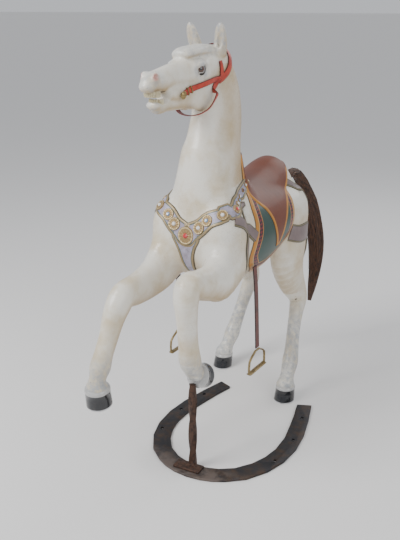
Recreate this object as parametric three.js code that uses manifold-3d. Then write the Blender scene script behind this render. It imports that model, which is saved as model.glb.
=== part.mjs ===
// Carousel horse: a carved wooden horse on a horseshoe stand.
// Millimetres, +Z up. The horse faces -Y and its left side is +X.
import * as THREE from "three";
import { mergeVertices } from "three/addons/utils/BufferGeometryUtils.js";
import Module from "manifold-3d";

const wasm = await Module();
wasm.setup();

// ---------------------------------------------------------------- driving dimensions
const GAP = 0.3;                 // clearance between pieces that touch
const GRID = 5;                  // spacing of the grid that the carved form is sampled on
const BODY_FACES = 5000;         // faces kept on the bare body
const CARVED_FACES = 5400;       // faces kept once the harness and saddle are carved on it
const HEAD_DETAIL = 4;           // how much more the head's shape counts when faces are dropped

// Limbs are rows of stations along a spine: [x, y, z, half width, half depth].
// The middle of the horse is x = 0, and the floor is z = 0.
const TRUNK = [
  [0, 278, 740, 146, 116], [0, 300, 732, 160, 150], [0, 345, 726, 170, 168], [0, 440, 724, 176, 170],
  [0, 540, 733, 174, 157], [0, 640, 748, 166, 135], [0, 720, 754, 154, 110], [0, 790, 748, 130, 96],
  [0, 832, 740, 104, 78],
];
const NECK = [
  [0, 330, 800, 108, 132], [0, 325, 880, 99, 136], [0, 322, 950, 92, 124], [0, 322, 1020, 89, 122],
  [0, 338, 1090, 81, 114], [0, 350, 1150, 76, 109], [0, 348, 1215, 72, 101], [0, 336, 1270, 65, 90],
  [0, 312, 1325, 56, 66],
];
const BREAST = [
  [0, 276, 790, 130, 100], [0, 270, 840, 130, 88], [0, 266, 880, 124, 80], [0, 270, 950, 97, 78],
  [0, 296, 1010, 82, 88],
];
const SKULL = [
  [0, 322, 1332, 50, 50], [0, 262, 1324, 59, 60], [0, 200, 1316, 60, 58], [0, 150, 1308, 53, 54],
  [0, 105, 1302, 41, 45], [0, 60, 1299, 33, 40], [0, 15, 1296, 30, 35], [0, -20, 1293, 29, 31],
  [0, -42, 1287, 26, 24],
];
const JAW = [
  [0, 215, 1235, 42, 46], [0, 150, 1231, 36, 34], [0, 90, 1226, 29, 25], [0, 40, 1222, 27, 20],
  [0, 5, 1221, 27, 17], [0, -18, 1226, 25, 13],
];
const CHEEKS = [
  [0, 180, 1262, 46, 52], [0, 120, 1257, 43, 42], [0, 70, 1255, 39, 34], [0, 40, 1254, 34, 24],
];
const MOUTH = [
  [0, 26, 1254, 60, 1.5], [0, 10, 1252, 60, 6], [0, -25, 1250, 60, 12], [0, -75, 1250, 60, 15],
];
const FORELOCK = [
  [0, 285, 1366, 46, 24], [0, 240, 1371, 48, 22], [0, 190, 1370, 46, 20], [0, 150, 1367, 40, 19],
  [0, 130, 1362, 32, 17],
];
const SEAT = [
  [0, 440, 790, 112, 112], [0, 520, 790, 114, 114], [0, 600, 792, 114, 118], [0, 670, 796, 113, 126],
  [0, 730, 800, 111, 139], [0, 772, 802, 109, 143],
];
const FORE_LEFT = [
  [112, 240, 686, 64, 104], [126, 160, 654, 56, 86], [130, 92, 656, 46, 62], [132, 22, 670, 42, 50],
  [132, -32, 682, 43, 45], [133, -50, 650, 41, 43], [134, -50, 600, 35, 38], [134, -46, 540, 32, 34],
  [133, -38, 480, 32, 34], [131, -28, 430, 36, 38], [128, -8, 392, 33, 33], [126, 12, 362, 29, 29],
  [126, 40, 344, 26, 26],
];
const FORE_RIGHT = [
  [-112, 235, 690, 64, 96], [-114, 165, 640, 54, 80], [-110, 95, 620, 47, 66], [-104, 10, 614, 42, 56],
  [-100, -66, 616, 42, 47], [-101, -98, 588, 40, 45], [-103, -122, 550, 35, 40], [-105, -144, 500, 31, 34],
  [-109, -170, 445, 31, 32], [-113, -186, 402, 34, 36], [-116, -198, 366, 27, 29], [-118, -200, 340, 37, 37],
];
const HIND_LEFT = [
  [94, 758, 715, 66, 112], [112, 722, 640, 62, 118], [124, 701, 560, 54, 101], [132, 722, 480, 44, 76],
  [138, 768, 410, 35, 56], [142, 782, 365, 33, 46], [148, 754, 315, 28, 32], [155, 722, 250, 26, 29],
  [165, 690, 180, 28, 31], [173, 662, 135, 32, 35], [179, 628, 92, 27, 30], [184, 604, 62, 37, 39],
];
const HIND_RIGHT = [
  [-94, 758, 715, 66, 112], [-112, 748, 640, 62, 116], [-124, 768, 560, 54, 98], [-132, 822, 480, 44, 72],
  [-138, 884, 410, 35, 54], [-142, 896, 360, 33, 46], [-148, 868, 305, 28, 32], [-156, 836, 240, 26, 29],
  [-164, 806, 175, 28, 31], [-170, 784, 132, 32, 35], [-175, 756, 92, 27, 30], [-178, 732, 62, 37, 39],
];

// ---------------------------------------------------------------- carved form as a distance field
const mix = (a, b, t) => a + (b - a) * t;

/** Value at t between p1 and p2 on a Catmull-Rom curve. */
function smoothStep4(p0, p1, p2, p3, t) {
  const a = 2 * p1;
  const b = p2 - p0;
  const c = 2 * p0 - 5 * p1 + 4 * p2 - p3;
  const d = 3 * p1 - p0 - 3 * p2 + p3;
  return 0.5 * (a + b * t + c * t * t + d * t * t * t);
}

/** Fills in `steps` stations between each pair, on a smooth curve. */
function refine(rows, steps) {
  const out = [];
  const last = rows.length - 1;
  for (let i = 0; i < last; i++) {
    const four = [rows[Math.max(i - 1, 0)], rows[i], rows[i + 1], rows[Math.min(i + 2, last)]];
    for (let s = 0; s < steps; s++) {
      out.push(rows[i].map((_, k) => smoothStep4(...four.map((row) => row[k]), s / steps)));
    }
  }
  out.push(rows[last]);
  return out;
}

/** Adds the direction of the spine to each station. */
function withTangents(rows) {
  const last = rows.length - 1;
  return rows.map((row, i) => {
    const a = rows[Math.max(i - 1, 0)];
    const b = rows[Math.min(i + 1, last)];
    const d = [b[0] - a[0], b[1] - a[1], b[2] - a[2]];
    const length = Math.hypot(...d);
    return [...row, d[0] / length, d[1] / length, d[2] / length];
  });
}

/** Distance to an ellipsoid-like form from the offsets along its three half sizes. */
function ellipseDistance(a, b, c, ra, rb, rc) {
  const k0 = Math.hypot(a / ra, b / rb, c / rc);
  const k1 = Math.hypot(a / (ra * ra), b / (rb * rb), c / (rc * rc));
  return k0 < 1e-6 ? -Math.min(ra, rb, rc) : (k0 * (k0 - 1)) / k1;
}

/** Box round a list of [x, y, z, reach] rows. */
function boxOf(rows) {
  const low = [0, 1, 2].map((k) => Math.min(...rows.map((row) => row[k] - row[3])));
  const high = [0, 1, 2].map((k) => Math.max(...rows.map((row) => row[k] + row[3])));
  return { low, high };
}

function boxDistance(box, p) {
  let sum = 0;
  for (let k = 0; k < 3; k++) {
    const d = Math.max(box.low[k] - p[k], 0, p[k] - box.high[k]);
    sum += d * d;
  }
  return Math.sqrt(sum);
}

/** A limb: elliptical sections along a smooth spine, rounded off at both ends. */
function limb(stations, { blend = 30, round = 0.8, carve = false } = {}) {
  const rows = withTangents(refine(stations, 4));
  const box = boxOf(rows.map((row) => [row[0], row[1], row[2], Math.max(row[3], row[4])]));
  function distance(p) {
    let best = Infinity;
    let at = 0;
    let part = 0;
    for (let i = 0; i + 1 < rows.length; i++) {
      const a = rows[i];
      const b = rows[i + 1];
      const dx = b[0] - a[0];
      const dy = b[1] - a[1];
      const dz = b[2] - a[2];
      const dot = (p[0] - a[0]) * dx + (p[1] - a[1]) * dy + (p[2] - a[2]) * dz;
      const t = Math.min(Math.max(dot / (dx * dx + dy * dy + dz * dz), 0), 1);
      const ex = p[0] - a[0] - dx * t;
      const ey = p[1] - a[1] - dy * t;
      const ez = p[2] - a[2] - dz * t;
      const far = ex * ex + ey * ey + ez * ez;
      if (far < best) {
        best = far;
        at = i;
        part = t;
      }
    }
    const here = rows[at].map((v, k) => mix(v, rows[at + 1][k], part));
    const [width, depth] = here.slice(3, 5);
    const length = Math.hypot(here[5], here[6], here[7]);
    const [tx, ty, tz] = here.slice(5).map((v) => v / length);
    const q = [p[0] - here[0], p[1] - here[1], p[2] - here[2]];
    const flat = Math.hypot(1 - tx * tx, tx * ty, tx * tz);
    const side = [(1 - tx * tx) / flat, (-tx * ty) / flat, (-tx * tz) / flat];
    const deep = [ty * side[2] - tz * side[1], tz * side[0] - tx * side[2], tx * side[1] - ty * side[0]];
    const dot = (v) => q[0] * v[0] + q[1] * v[1] + q[2] * v[2];
    const atEnd = (at === 0 && part === 0) || (at + 2 === rows.length && part === 1);
    const along = atEnd ? dot([tx, ty, tz]) : 0;
    return ellipseDistance(dot(side), dot(deep), along, width, depth, Math.min(width, depth) * round);
  }
  return { blend, carve, box, distance };
}

/** A lump: an ellipsoid, turned by three angles in degrees. */
function lump(centre, radii, { turn = [0, 0, 0], blend = 25, carve = false } = {}) {
  const angles = turn.map((degrees) => THREE.MathUtils.degToRad(degrees));
  const back = new THREE.Matrix4().makeRotationFromEuler(new THREE.Euler(...angles)).transpose();
  const m = back.elements;
  const box = boxOf([[...centre, Math.max(...radii)]]);
  function distance(p) {
    const [x, y, z] = [p[0] - centre[0], p[1] - centre[1], p[2] - centre[2]];
    const a = m[0] * x + m[4] * y + m[8] * z;
    const b = m[1] * x + m[5] * y + m[9] * z;
    const c = m[2] * x + m[6] * y + m[10] * z;
    return ellipseDistance(a, b, c, ...radii);
  }
  return { blend, carve, box, distance };
}

/** The same lump on both sides of the horse. */
function pair([x, y, z], radii, { turn = [0, 0, 0], ...rest } = {}) {
  const [tx, ty, tz] = turn;
  return [
    lump([x, y, z], radii, { turn, ...rest }),
    lump([-x, y, z], radii, { turn: [tx, -ty, -tz], ...rest }),
  ];
}

function softMin(a, b, k) {
  const h = Math.max(k - Math.abs(a - b), 0);
  return Math.min(a, b) - (h * h) / (4 * k);
}

/** Joins all the shapes in order, each with its own softness; carving shapes are cut away. */
function carvedForm(shapes) {
  return function field(p) {
    let d = 1e6;
    for (const shape of shapes) {
      const near = boxDistance(shape.box, p);
      if (shape.carve) {
        if (-near > d - shape.blend) d = -softMin(-d, shape.distance(p), shape.blend);
      } else if (near < d + shape.blend) {
        d = softMin(d, shape.distance(p), shape.blend);
      }
    }
    return d;
  };
}

/** An ear: a cupped leaf, open to the front and outwards. */
function ear(side) {
  const shell = [
    [43, 296, 1362, 20, 25], [48, 290, 1390, 22, 19], [53, 281, 1422, 20, 12], [56, 275, 1444, 14, 8],
    [57, 273, 1453, 7, 5],
  ];
  const hollow = [
    [50, 276, 1384, 6, 6], [57, 270, 1404, 12, 8], [62, 264, 1426, 11, 8], [62, 264, 1442, 6, 5],
  ];
  const flip = (rows) => rows.map(([x, ...rest]) => [x * side, ...rest]);
  return [limb(flip(shell), { blend: 6 }), limb(flip(hollow), { blend: 3, carve: true })];
}

/** Locks of the mane, falling down the right side of the neck; the middle one is the longest. */
function maneLock(k) {
  const z = 1318 - 66 * k;
  const y = 408 + 24 * Math.sin(Math.min(k, 4) * 0.45);
  const side = 66 + 4.5 * k;
  const reach = k === 2 ? 44 : 8;
  const wave = k % 2 ? 9 : -7;
  return limb(
    [
      [-8, y, z, 16, 26], [-38, y - 10, z - 12, 16, 26], [-side + 6, y - 34 - wave, z - 44, 15, 25],
      [-side - 6, y - 46 - reach, z - 84, 14, 19], [-side - 8, y - 60 - reach * 1.4, z - 104 + wave, 9, 11],
    ],
    { blend: 7 },
  );
}

const EARS = [...ear(1), ...ear(-1)];
const MANE = [0, 1, 2, 3, 4].map(maneLock);
const shapes = [
  limb(TRUNK, { blend: 1, round: 1 }),
  limb(SEAT, { blend: 10, round: 0.12 }),
  limb(NECK, { blend: 60 }),
  limb(BREAST, { blend: 40, round: 0.5 }),
  ...pair([100, 235, 770], [74, 78, 108], { turn: [12, 0, 0], blend: 40 }),
  ...pair([54, 226, 735], [70, 60, 104], { blend: 40 }),
  limb(SKULL, { blend: 34 }),
  ...pair([32, 205, 1250], [24, 66, 64], { blend: 24 }),
  ...pair([40, 172, 1336], [21, 32, 13], { turn: [8, 0, 24], blend: 16 }),
  ...pair([20, -30, 1310], [10, 17, 15], { turn: [10, 0, 20], blend: 9 }),
  lump([0, -48, 1281], [24, 18, 15], { blend: 10 }),
  limb(JAW, { blend: 12 }),
  limb(CHEEKS, { blend: 10, round: 0.5 }),
  lump([0, 6, 1214], [20, 22, 14], { blend: 12 }),
  limb(MOUTH, { blend: 5, carve: true }),
  ...pair([29, -40, 1311], [7, 10, 8], { turn: [10, 0, 20], blend: 4, carve: true }),
  limb(FORELOCK, { blend: 8, round: 0.6 }),
  ...EARS,
  ...MANE,
  limb(FORE_LEFT, { blend: 26 }),
  limb(FORE_RIGHT, { blend: 26 }),
  ...pair([82, 762, 750], [80, 96, 88], { blend: 40 }),
  limb(HIND_LEFT, { blend: 26 }),
  limb(HIND_RIGHT, { blend: 26 }),
];
const form = carvedForm(shapes);

// ---------------------------------------------------------------- meshing the field
/** Outward direction of the field at p, as a unit vector. */
function slope(p, step = 0.5) {
  const g = [0, 1, 2].map((k) => {
    const a = [...p];
    const b = [...p];
    a[k] += step;
    b[k] -= step;
    return (form(a) - form(b)) / (2 * step);
  });
  const size = Math.hypot(...g) || 1;
  return { normal: g.map((v) => v / size), size };
}

/** Moves p onto the surface of the form. */
function settle(p, rounds = 3) {
  let q = [...p];
  for (let i = 0; i < rounds; i++) {
    const { normal, size } = slope(q);
    const step = Math.min(Math.max(form(q) / size, -GRID), GRID);
    q = q.map((v, k) => v - normal[k] * step);
  }
  return q;
}

/** Surface nets: one vertex in each grid cell that the surface crosses, one quad round each crossed edge. */
function surfaceNet(box) {
  const size = [0, 1, 2].map((k) => Math.ceil((box.high[k] - box.low[k]) / GRID) + 1);
  const [nx, ny, nz] = size;
  const values = new Float32Array(nx * ny * nz).fill(NaN);
  const index = (i, j, k) => i + nx * (j + ny * k);
  const point = (i, j, k) => [box.low[0] + i * GRID, box.low[1] + j * GRID, box.low[2] + k * GRID];
  const block = 5;
  const reach = block * GRID * 1.3;
  for (let k = 0; k < nz; k += block) {
    for (let j = 0; j < ny; j += block) {
      for (let i = 0; i < nx; i += block) {
        const half = block / 2;
        const middle = form(point(i + half, j + half, k + half));
        for (let c = k; c < Math.min(k + block, nz); c++) {
          for (let b = j; b < Math.min(j + block, ny); b++) {
            for (let a = i; a < Math.min(i + block, nx); a++) {
              values[index(a, b, c)] = Math.abs(middle) > reach ? middle : form(point(a, b, c));
            }
          }
        }
      }
    }
  }
  const corners = [];
  for (let n = 0; n < 8; n++) corners.push([n & 1, (n >> 1) & 1, n >> 2]);
  const edges = [];
  for (let a = 0; a < 8; a++) {
    for (const bit of [1, 2, 4]) if (!(a & bit)) edges.push([a, a | bit]);
  }
  const cellVertex = new Int32Array(nx * ny * nz).fill(-1);
  const vertices = [];
  for (let k = 0; k + 1 < nz; k++) {
    for (let j = 0; j + 1 < ny; j++) {
      for (let i = 0; i + 1 < nx; i++) {
        const v = corners.map(([a, b, c]) => values[index(i + a, j + b, k + c)]);
        const inside = v.filter((value) => value < 0).length;
        if (inside === 0 || inside === 8) continue;
        const sum = [0, 0, 0];
        let count = 0;
        for (const [a, b] of edges) {
          if (v[a] < 0 === v[b] < 0) continue;
          const t = v[a] / (v[a] - v[b]);
          for (let m = 0; m < 3; m++) sum[m] += mix(corners[a][m], corners[b][m], t);
          count++;
        }
        cellVertex[index(i, j, k)] = vertices.length;
        vertices.push([i, j, k].map((cell, m) => box.low[m] + (cell + sum[m] / count) * GRID));
      }
    }
  }
  const faces = [];
  const quad = (a, b, c, d, turned) => {
    if (turned) faces.push([a, b, c], [a, c, d]);
    else faces.push([a, c, b], [a, d, c]);
  };
  for (let k = 1; k + 1 < nz; k++) {
    for (let j = 1; j + 1 < ny; j++) {
      for (let i = 1; i + 1 < nx; i++) {
        const here = values[index(i, j, k)] < 0;
        const at = (a, b, c) => cellVertex[index(i - a, j - b, k - c)];
        if (here !== values[index(i + 1, j, k)] < 0) quad(at(0, 0, 0), at(0, 1, 0), at(0, 1, 1), at(0, 0, 1), here);
        if (here !== values[index(i, j + 1, k)] < 0) quad(at(0, 0, 0), at(0, 0, 1), at(1, 0, 1), at(1, 0, 0), here);
        if (here !== values[index(i, j, k + 1)] < 0) quad(at(0, 0, 0), at(1, 0, 0), at(1, 1, 0), at(0, 1, 0), here);
      }
    }
  }
  return { vertices, faces };
}

// ---------------------------------------------------------------- fewer, larger faces
const cross = (a, b) => [a[1] * b[2] - a[2] * b[1], a[2] * b[0] - a[0] * b[2], a[0] * b[1] - a[1] * b[0]];
const minus = (a, b) => [a[0] - b[0], a[1] - b[1], a[2] - b[2]];
const dotOf = (a, b) => a[0] * b[0] + a[1] * b[1] + a[2] * b[2];

/** Smallest-first queue of [cost, ...] entries. */
class Heap {
  items = [];

  push(entry) {
    const { items } = this;
    let i = items.length;
    items.push(entry);
    while (i > 0) {
      const up = (i - 1) >> 1;
      if (items[up][0] <= entry[0]) break;
      items[i] = items[up];
      i = up;
    }
    items[i] = entry;
  }

  pop() {
    const { items } = this;
    const top = items[0];
    const entry = items.pop();
    if (items.length === 0) return top;
    let i = 0;
    for (;;) {
      let down = 2 * i + 1;
      if (down >= items.length) break;
      if (down + 1 < items.length && items[down + 1][0] < items[down][0]) down++;
      if (items[down][0] >= entry[0]) break;
      items[i] = items[down];
      i = down;
    }
    items[i] = entry;
    return top;
  }
}

/** Squared distance to the planes summed in a quadric, at point p. */
function quadricCost(q, [x, y, z]) {
  const sum = q[0] * x * x + 2 * q[1] * x * y + 2 * q[2] * x * z + 2 * q[3] * x + q[4] * y * y
    + 2 * q[5] * y * z + 2 * q[6] * y + q[7] * z * z + 2 * q[8] * z + q[9];
  return Math.max(sum, 0);
}

/** Collapses the cheapest edges until `target` faces are left; `weight(p)` protects detail. */
function simplify({ vertices, faces }, target, weight) {
  const points = vertices.map((v) => [...v]);
  const around = points.map(() => new Set());
  const quadrics = points.map(() => new Float64Array(10));
  faces.forEach((face, f) => {
    const [a, b, c] = face.map((v) => points[v]);
    const n = cross(minus(b, a), minus(c, a));
    const area = Math.hypot(...n) / 2 || 1e-9;
    const [nx, ny, nz] = n.map((v) => v / (2 * area));
    const d = -dotOf([nx, ny, nz], a);
    const w = area * weight(a);
    const plane = [nx * nx, nx * ny, nx * nz, nx * d, ny * ny, ny * nz, ny * d, nz * nz, nz * d, d * d];
    for (const v of face) {
      around[v].add(f);
      for (let k = 0; k < 10; k++) quadrics[v][k] += plane[k] * w;
    }
  });
  const version = new Int32Array(points.length);
  const heap = new Heap();
  const neighbours = (v) => {
    const out = new Set();
    for (const f of around[v]) for (const u of faces[f]) if (u !== v) out.add(u);
    return out;
  };
  const offer = (a, b) => {
    const q = quadrics[a].map((v, k) => v + quadrics[b][k]);
    const half = points[a].map((v, k) => (v + points[b][k]) / 2);
    let best = half;
    let cost = quadricCost(q, half);
    for (const end of [points[a], points[b]]) {
      const other = quadricCost(q, end);
      if (other < cost) {
        cost = other;
        best = end;
      }
    }
    const length = Math.hypot(...minus(points[a], points[b]));
    heap.push([cost + 1e-4 * length * length, a, b, version[a], version[b], best]);
  };
  points.forEach((_, v) => {
    for (const u of neighbours(v)) if (u > v) offer(v, u);
  });
  const turns = (v, gone, place) => {
    for (const f of around[v]) {
      if (faces[f].includes(gone)) continue;
      const now = faces[f].map((u) => points[u]);
      const then = faces[f].map((u) => (u === v ? place : points[u]));
      const before = cross(minus(now[1], now[0]), minus(now[2], now[0]));
      const after = cross(minus(then[1], then[0]), minus(then[2], then[0]));
      if (dotOf(before, after) < 0.2 * Math.hypot(...before) * Math.hypot(...after)) return true;
    }
    return false;
  };
  let left = faces.length;
  while (left > target && heap.items.length > 0) {
    const [, a, b, va, vb, place] = heap.pop();
    if (version[a] !== va || version[b] !== vb) continue;
    const nextToB = neighbours(b);
    const shared = [...neighbours(a)].filter((v) => nextToB.has(v));
    if (shared.length !== 2 || turns(a, b, place) || turns(b, a, place)) continue;
    points[a] = [...place];
    quadrics[a] = quadrics[a].map((v, k) => v + quadrics[b][k]);
    for (const f of [...around[b]]) {
      if (faces[f].includes(a)) {
        for (const v of faces[f]) around[v].delete(f);
        faces[f] = null;
        left--;
      } else {
        faces[f] = faces[f].map((v) => (v === b ? a : v));
        around[a].add(f);
      }
    }
    around[b].clear();
    version[b] = -1;
    version[a]++;
    for (const v of neighbours(a)) offer(a, v);
  }
  const index = new Map();
  const kept = [];
  const out = faces.filter(Boolean).map((face) => face.map((v) => {
    if (!index.has(v)) {
      index.set(v, kept.length);
      kept.push(points[v]);
    }
    return index.get(v);
  }));
  return { vertices: kept, faces: out };
}

const headWeight = (p) => (p[2] > 1170 && p[1] < 330 ? HEAD_DETAIL : 1);

// ---------------------------------------------------------------- closed solids from rings and grids
/** Turns the faces the right way out. */
function outward({ vertices, faces }) {
  let volume = 0;
  for (const [a, b, c] of faces) volume += dotOf(vertices[a], cross(vertices[b], vertices[c]));
  return { vertices, faces: volume > 0 ? faces : faces.map(([a, b, c]) => [a, c, b]) };
}

/** Skin over rings that have the same number of points; a loop closes on itself. */
function loft(rings, { loop = false } = {}) {
  const count = rings[0].length;
  const faces = [];
  const bands = loop ? rings.length : rings.length - 1;
  for (let i = 0; i < bands; i++) {
    const a = i * count;
    const b = ((i + 1) % rings.length) * count;
    for (let k = 0; k < count; k++) {
      const n = (k + 1) % count;
      faces.push([a + k, a + n, b + n], [a + k, b + n, b + k]);
    }
  }
  if (!loop) {
    const end = (rings.length - 1) * count;
    for (let k = 1; k + 1 < count; k++) faces.push([0, k + 1, k], [end, end + k, end + k + 1]);
  }
  return outward({ vertices: rings.flat(), faces });
}

/** A plate laid on the form: a grid of surface points, raised by `lift` and sunk by `sink`. */
function layOn(grid, lift, sink = 7) {
  const rows = grid.length;
  const count = grid[0].length;
  const at = (i, j, inner) => (inner ? rows * count : 0) + i * count + j;
  const shifted = (d) => grid.flat().map((p) => {
    const { normal } = slope(p);
    return p.map((v, k) => v + normal[k] * d);
  });
  const faces = [];
  for (let i = 0; i + 1 < rows; i++) {
    for (let j = 0; j + 1 < count; j++) {
      const outer = [at(i, j), at(i + 1, j), at(i + 1, j + 1), at(i, j + 1)];
      const inner = [at(i, j, 1), at(i, j + 1, 1), at(i + 1, j + 1, 1), at(i + 1, j, 1)];
      for (const [a, b, c, d] of [outer, inner]) faces.push([a, b, c], [a, c, d]);
    }
  }
  const rim = [];
  for (let j = 0; j < count; j++) rim.push([0, j]);
  for (let i = 1; i < rows; i++) rim.push([i, count - 1]);
  for (let j = count - 2; j >= 0; j--) rim.push([rows - 1, j]);
  for (let i = rows - 2; i > 0; i--) rim.push([i, 0]);
  rim.forEach(([i, j], n) => {
    const [m, o] = rim[(n + 1) % rim.length];
    faces.push([at(i, j), at(m, o), at(m, o, 1)], [at(i, j), at(m, o, 1), at(i, j, 1)]);
  });
  return outward({ vertices: [...shifted(lift), ...shifted(-sink)], faces });
}

/** A closed manifold solid from vertices and faces. */
function solid({ vertices, faces }) {
  const vertProperties = new Float32Array(vertices.flat());
  return new wasm.Manifold(new wasm.Mesh({ numProp: 3, vertProperties, triVerts: new Uint32Array(faces.flat()) }));
}

/** Keeps the outer skin only, so that pockets closed in by the carving are solid. */
function filled({ vertices, faces }) {
  const parent = vertices.map((_, i) => i);
  const root = (v) => {
    let r = v;
    while (parent[r] !== r) r = parent[r];
    for (let n = v; n !== r;) {
      const next = parent[n];
      parent[n] = r;
      n = next;
    }
    return r;
  };
  for (const [a, b, c] of faces) {
    parent[root(a)] = root(b);
    parent[root(b)] = root(c);
  }
  const counts = new Map();
  for (const [a] of faces) counts.set(root(a), (counts.get(root(a)) ?? 0) + 1);
  const [main] = [...counts].sort((a, b) => b[1] - a[1])[0];
  return { vertices, faces: faces.filter(([a]) => root(a) === main) };
}

/** Vertices and faces of a manifold solid. */
function meshOf(body) {
  const { vertProperties: v, triVerts: t } = body.getMesh();
  const vertices = [];
  const faces = [];
  for (let i = 0; i < v.length; i += 3) vertices.push([v[i], v[i + 1], v[i + 2]]);
  for (let i = 0; i < t.length; i += 3) faces.push([t[i], t[i + 1], t[i + 2]]);
  return { vertices, faces };
}

const addUp = (list) => list.reduce((a, b) => a.add(b));

const unit = (v) => v.map((c) => c / Math.hypot(...v));
const along = (p, v, d) => p.map((c, k) => c + v[k] * d);
const mirrored = (rows) => rows.map(([x, ...rest]) => [-x, ...rest]);

/** First surface point met on the way from `start` in direction `way`. */
function shoot(start, way) {
  let p = [...start];
  for (let i = 0; i < 60; i++) {
    const d = form(p);
    if (d < 0.3) break;
    p = along(p, way, Math.max(d * 0.6, 0.3));
  }
  return p;
}

/** Moves p onto the surface, level where the surface is steep enough. */
function settleLevel(p) {
  let q = [...p];
  for (let i = 0; i < 12; i++) {
    const { normal, size } = slope(q);
    const steep = Math.hypot(normal[0], normal[1]);
    const way = steep > 0.6 ? [normal[0] / steep, normal[1] / steep, 0] : normal;
    const step = Math.min(Math.max(form(q) / size / (steep > 0.6 ? steep : 1), -12), 12);
    q = along(q, way, -step);
  }
  return q;
}

/** Surface points across a strap, at `marks` from -1 to 1 of its half width. */
function across(line, marks) {
  const path = line.map((row) => ({ point: settleLevel(row.slice(0, 3)), half: row[3] }));
  return path.map(({ point, half }, i) => {
    const before = path[Math.max(i - 1, 0)].point;
    const after = path[Math.min(i + 1, path.length - 1)].point;
    const side = unit(cross(unit(minus(after, before)), slope(point).normal));
    return marks.map((v) => settle(along(point, side, half * v), 6));
  });
}

const EDGES = [-1, 1];
const FOUR = [-1, -0.4, 0.4, 1];
const strap = (line, lift, marks = EDGES, steps = 2) => solid(layOn(across(refine(line, steps), marks), lift));

/** A ring of `count` points round `centre`, square to `axis`. */
function ringAt(centre, axis, radii, count, turn = 0) {
  const [rx, ry] = [radii].flat().length === 2 ? radii : [radii, radii];
  const up = Math.abs(axis[0]) > 0.9 ? [0, 0, 1] : [1, 0, 0];
  const v = unit(cross(axis, up));
  const u = cross(v, axis);
  const points = [];
  for (let k = 0; k < count; k++) {
    const a = ((k + turn) / count) * 2 * Math.PI;
    points.push(centre.map((c, m) => c + u[m] * rx * Math.cos(a) + v[m] * ry * Math.sin(a)));
  }
  return points;
}

// ---------------------------------------------------------------- carved harness, saddle and blanket
const COLLAR_LIFT = 5;
const STRAP_LIFT = 4.6;
const BLANKET_LIFT = 4;
const SEAT_LIFT = 7;

// Centre line of the collar's left arm: [x, y, z, half width], from the breast to the withers.
const COLLAR = [
  [0, 158, 778, 43], [24, 160, 793, 37], [50, 164, 811, 33], [80, 184, 838, 32], [110, 205, 858, 30],
  [120, 247, 867, 29], [130, 270, 880, 28], [130, 297, 885, 28], [130, 325, 893, 27], [120, 364, 904, 25],
  [100, 401, 912, 22], [70, 440, 921, 20], [36, 462, 929, 18], [0, 470, 932, 18],
];
const TONGUE = [
  [0, 155, 786, 58], [0, 152, 764, 54], [0, 150, 742, 42], [0, 150, 715, 32], [0, 150, 680, 26],
  [0, 150, 638, 21],
];
const BREAST_STRAP = [[150, 215, 842, 23], [160, 256, 822, 23], [166, 300, 790, 23], [168, 345, 752, 23]];
const GIRTH = [
  [160, 340, 870, 14], [160, 310, 830, 14], [160, 285, 770, 14], [150, 277, 680, 14], [110, 290, 600, 14],
  [60, 298, 566, 14], [0, 302, 556, 14],
];
const BREECHING = [
  [165, 640, 690, 34], [165, 700, 672, 35], [160, 754, 667, 36], [150, 820, 660, 36], [120, 868, 655, 36],
  [60, 890, 652, 36], [0, 850, 650, 36],
];
const CROUP_STRAP = [
  [60, 712, 868, 17], [92, 748, 850, 17], [112, 784, 822, 17], [126, 823, 778, 17], [124, 862, 720, 17],
];
const HAUNCH_STRAP = [[150, 796, 626, 21], [146, 792, 580, 18], [140, 790, 522, 15]];

// Edges of the blanket and of the saddle: [angle down from the top, front y, rear y].
const BLANKET = [
  [0, 400, 735], [30, 395, 712], [55, 368, 690], [75, 352, 670], [95, 322, 652], [110, 311, 630],
  [122, 325, 585], [130, 348, 530], [137, 368, 440],
];
const SADDLE = [
  [0, 418, 776], [18, 412, 774], [34, 400, 735], [48, 418, 690], [62, 446, 640], [76, 461, 596], [90, 470, 560],
  [102, 480, 532], [111, 488, 512],
];

/** Grid of surface points between the front and rear edges of a cloth over the back. */
function clothGrid(edges, steps, columns) {
  const left = refine(edges, steps);
  const both = [...left.slice(1).reverse().map(([a, ...rest]) => [-a, ...rest]), ...left];
  return both.map(([degrees, front, rear]) => {
    const a = THREE.MathUtils.degToRad(degrees);
    const out = [Math.sin(a), 0, Math.cos(a)];
    const points = [];
    for (let k = 0; k <= columns; k++) {
      points.push(shoot([280 * out[0], mix(front, rear, k / columns), 745 + 280 * out[2]], out.map((v) => -v)));
    }
    return points;
  });
}

/** Closed line round the whole neck: the left arm, then the right arm back to the breast. */
const wholeCollar = [...mirrored(COLLAR).slice(1).reverse(), ...COLLAR];
const bothSides = (line) => [line, mirrored(line)];
const roundTheBack = (line) => [...line, ...mirrored(line).slice(0, -1).reverse()];

const carvings = [
  solid(layOn(clothGrid(BLANKET, 2, 9), BLANKET_LIFT)),
  solid(layOn(clothGrid(SADDLE, 2, 8), SEAT_LIFT)),
  strap(wholeCollar, COLLAR_LIFT, FOUR, 2),
  strap(TONGUE, COLLAR_LIFT - 0.6, EDGES, 2),
  ...bothSides(BREAST_STRAP).map((line) => strap(line, STRAP_LIFT)),
  strap(roundTheBack(GIRTH), STRAP_LIFT + 0.5),
  strap(roundTheBack(BREECHING), STRAP_LIFT),
  ...bothSides(CROUP_STRAP).map((line) => strap(line, STRAP_LIFT - 0.7)),
  ...bothSides(HAUNCH_STRAP).map((line) => strap(line, STRAP_LIFT + 0.9)),
];

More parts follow.
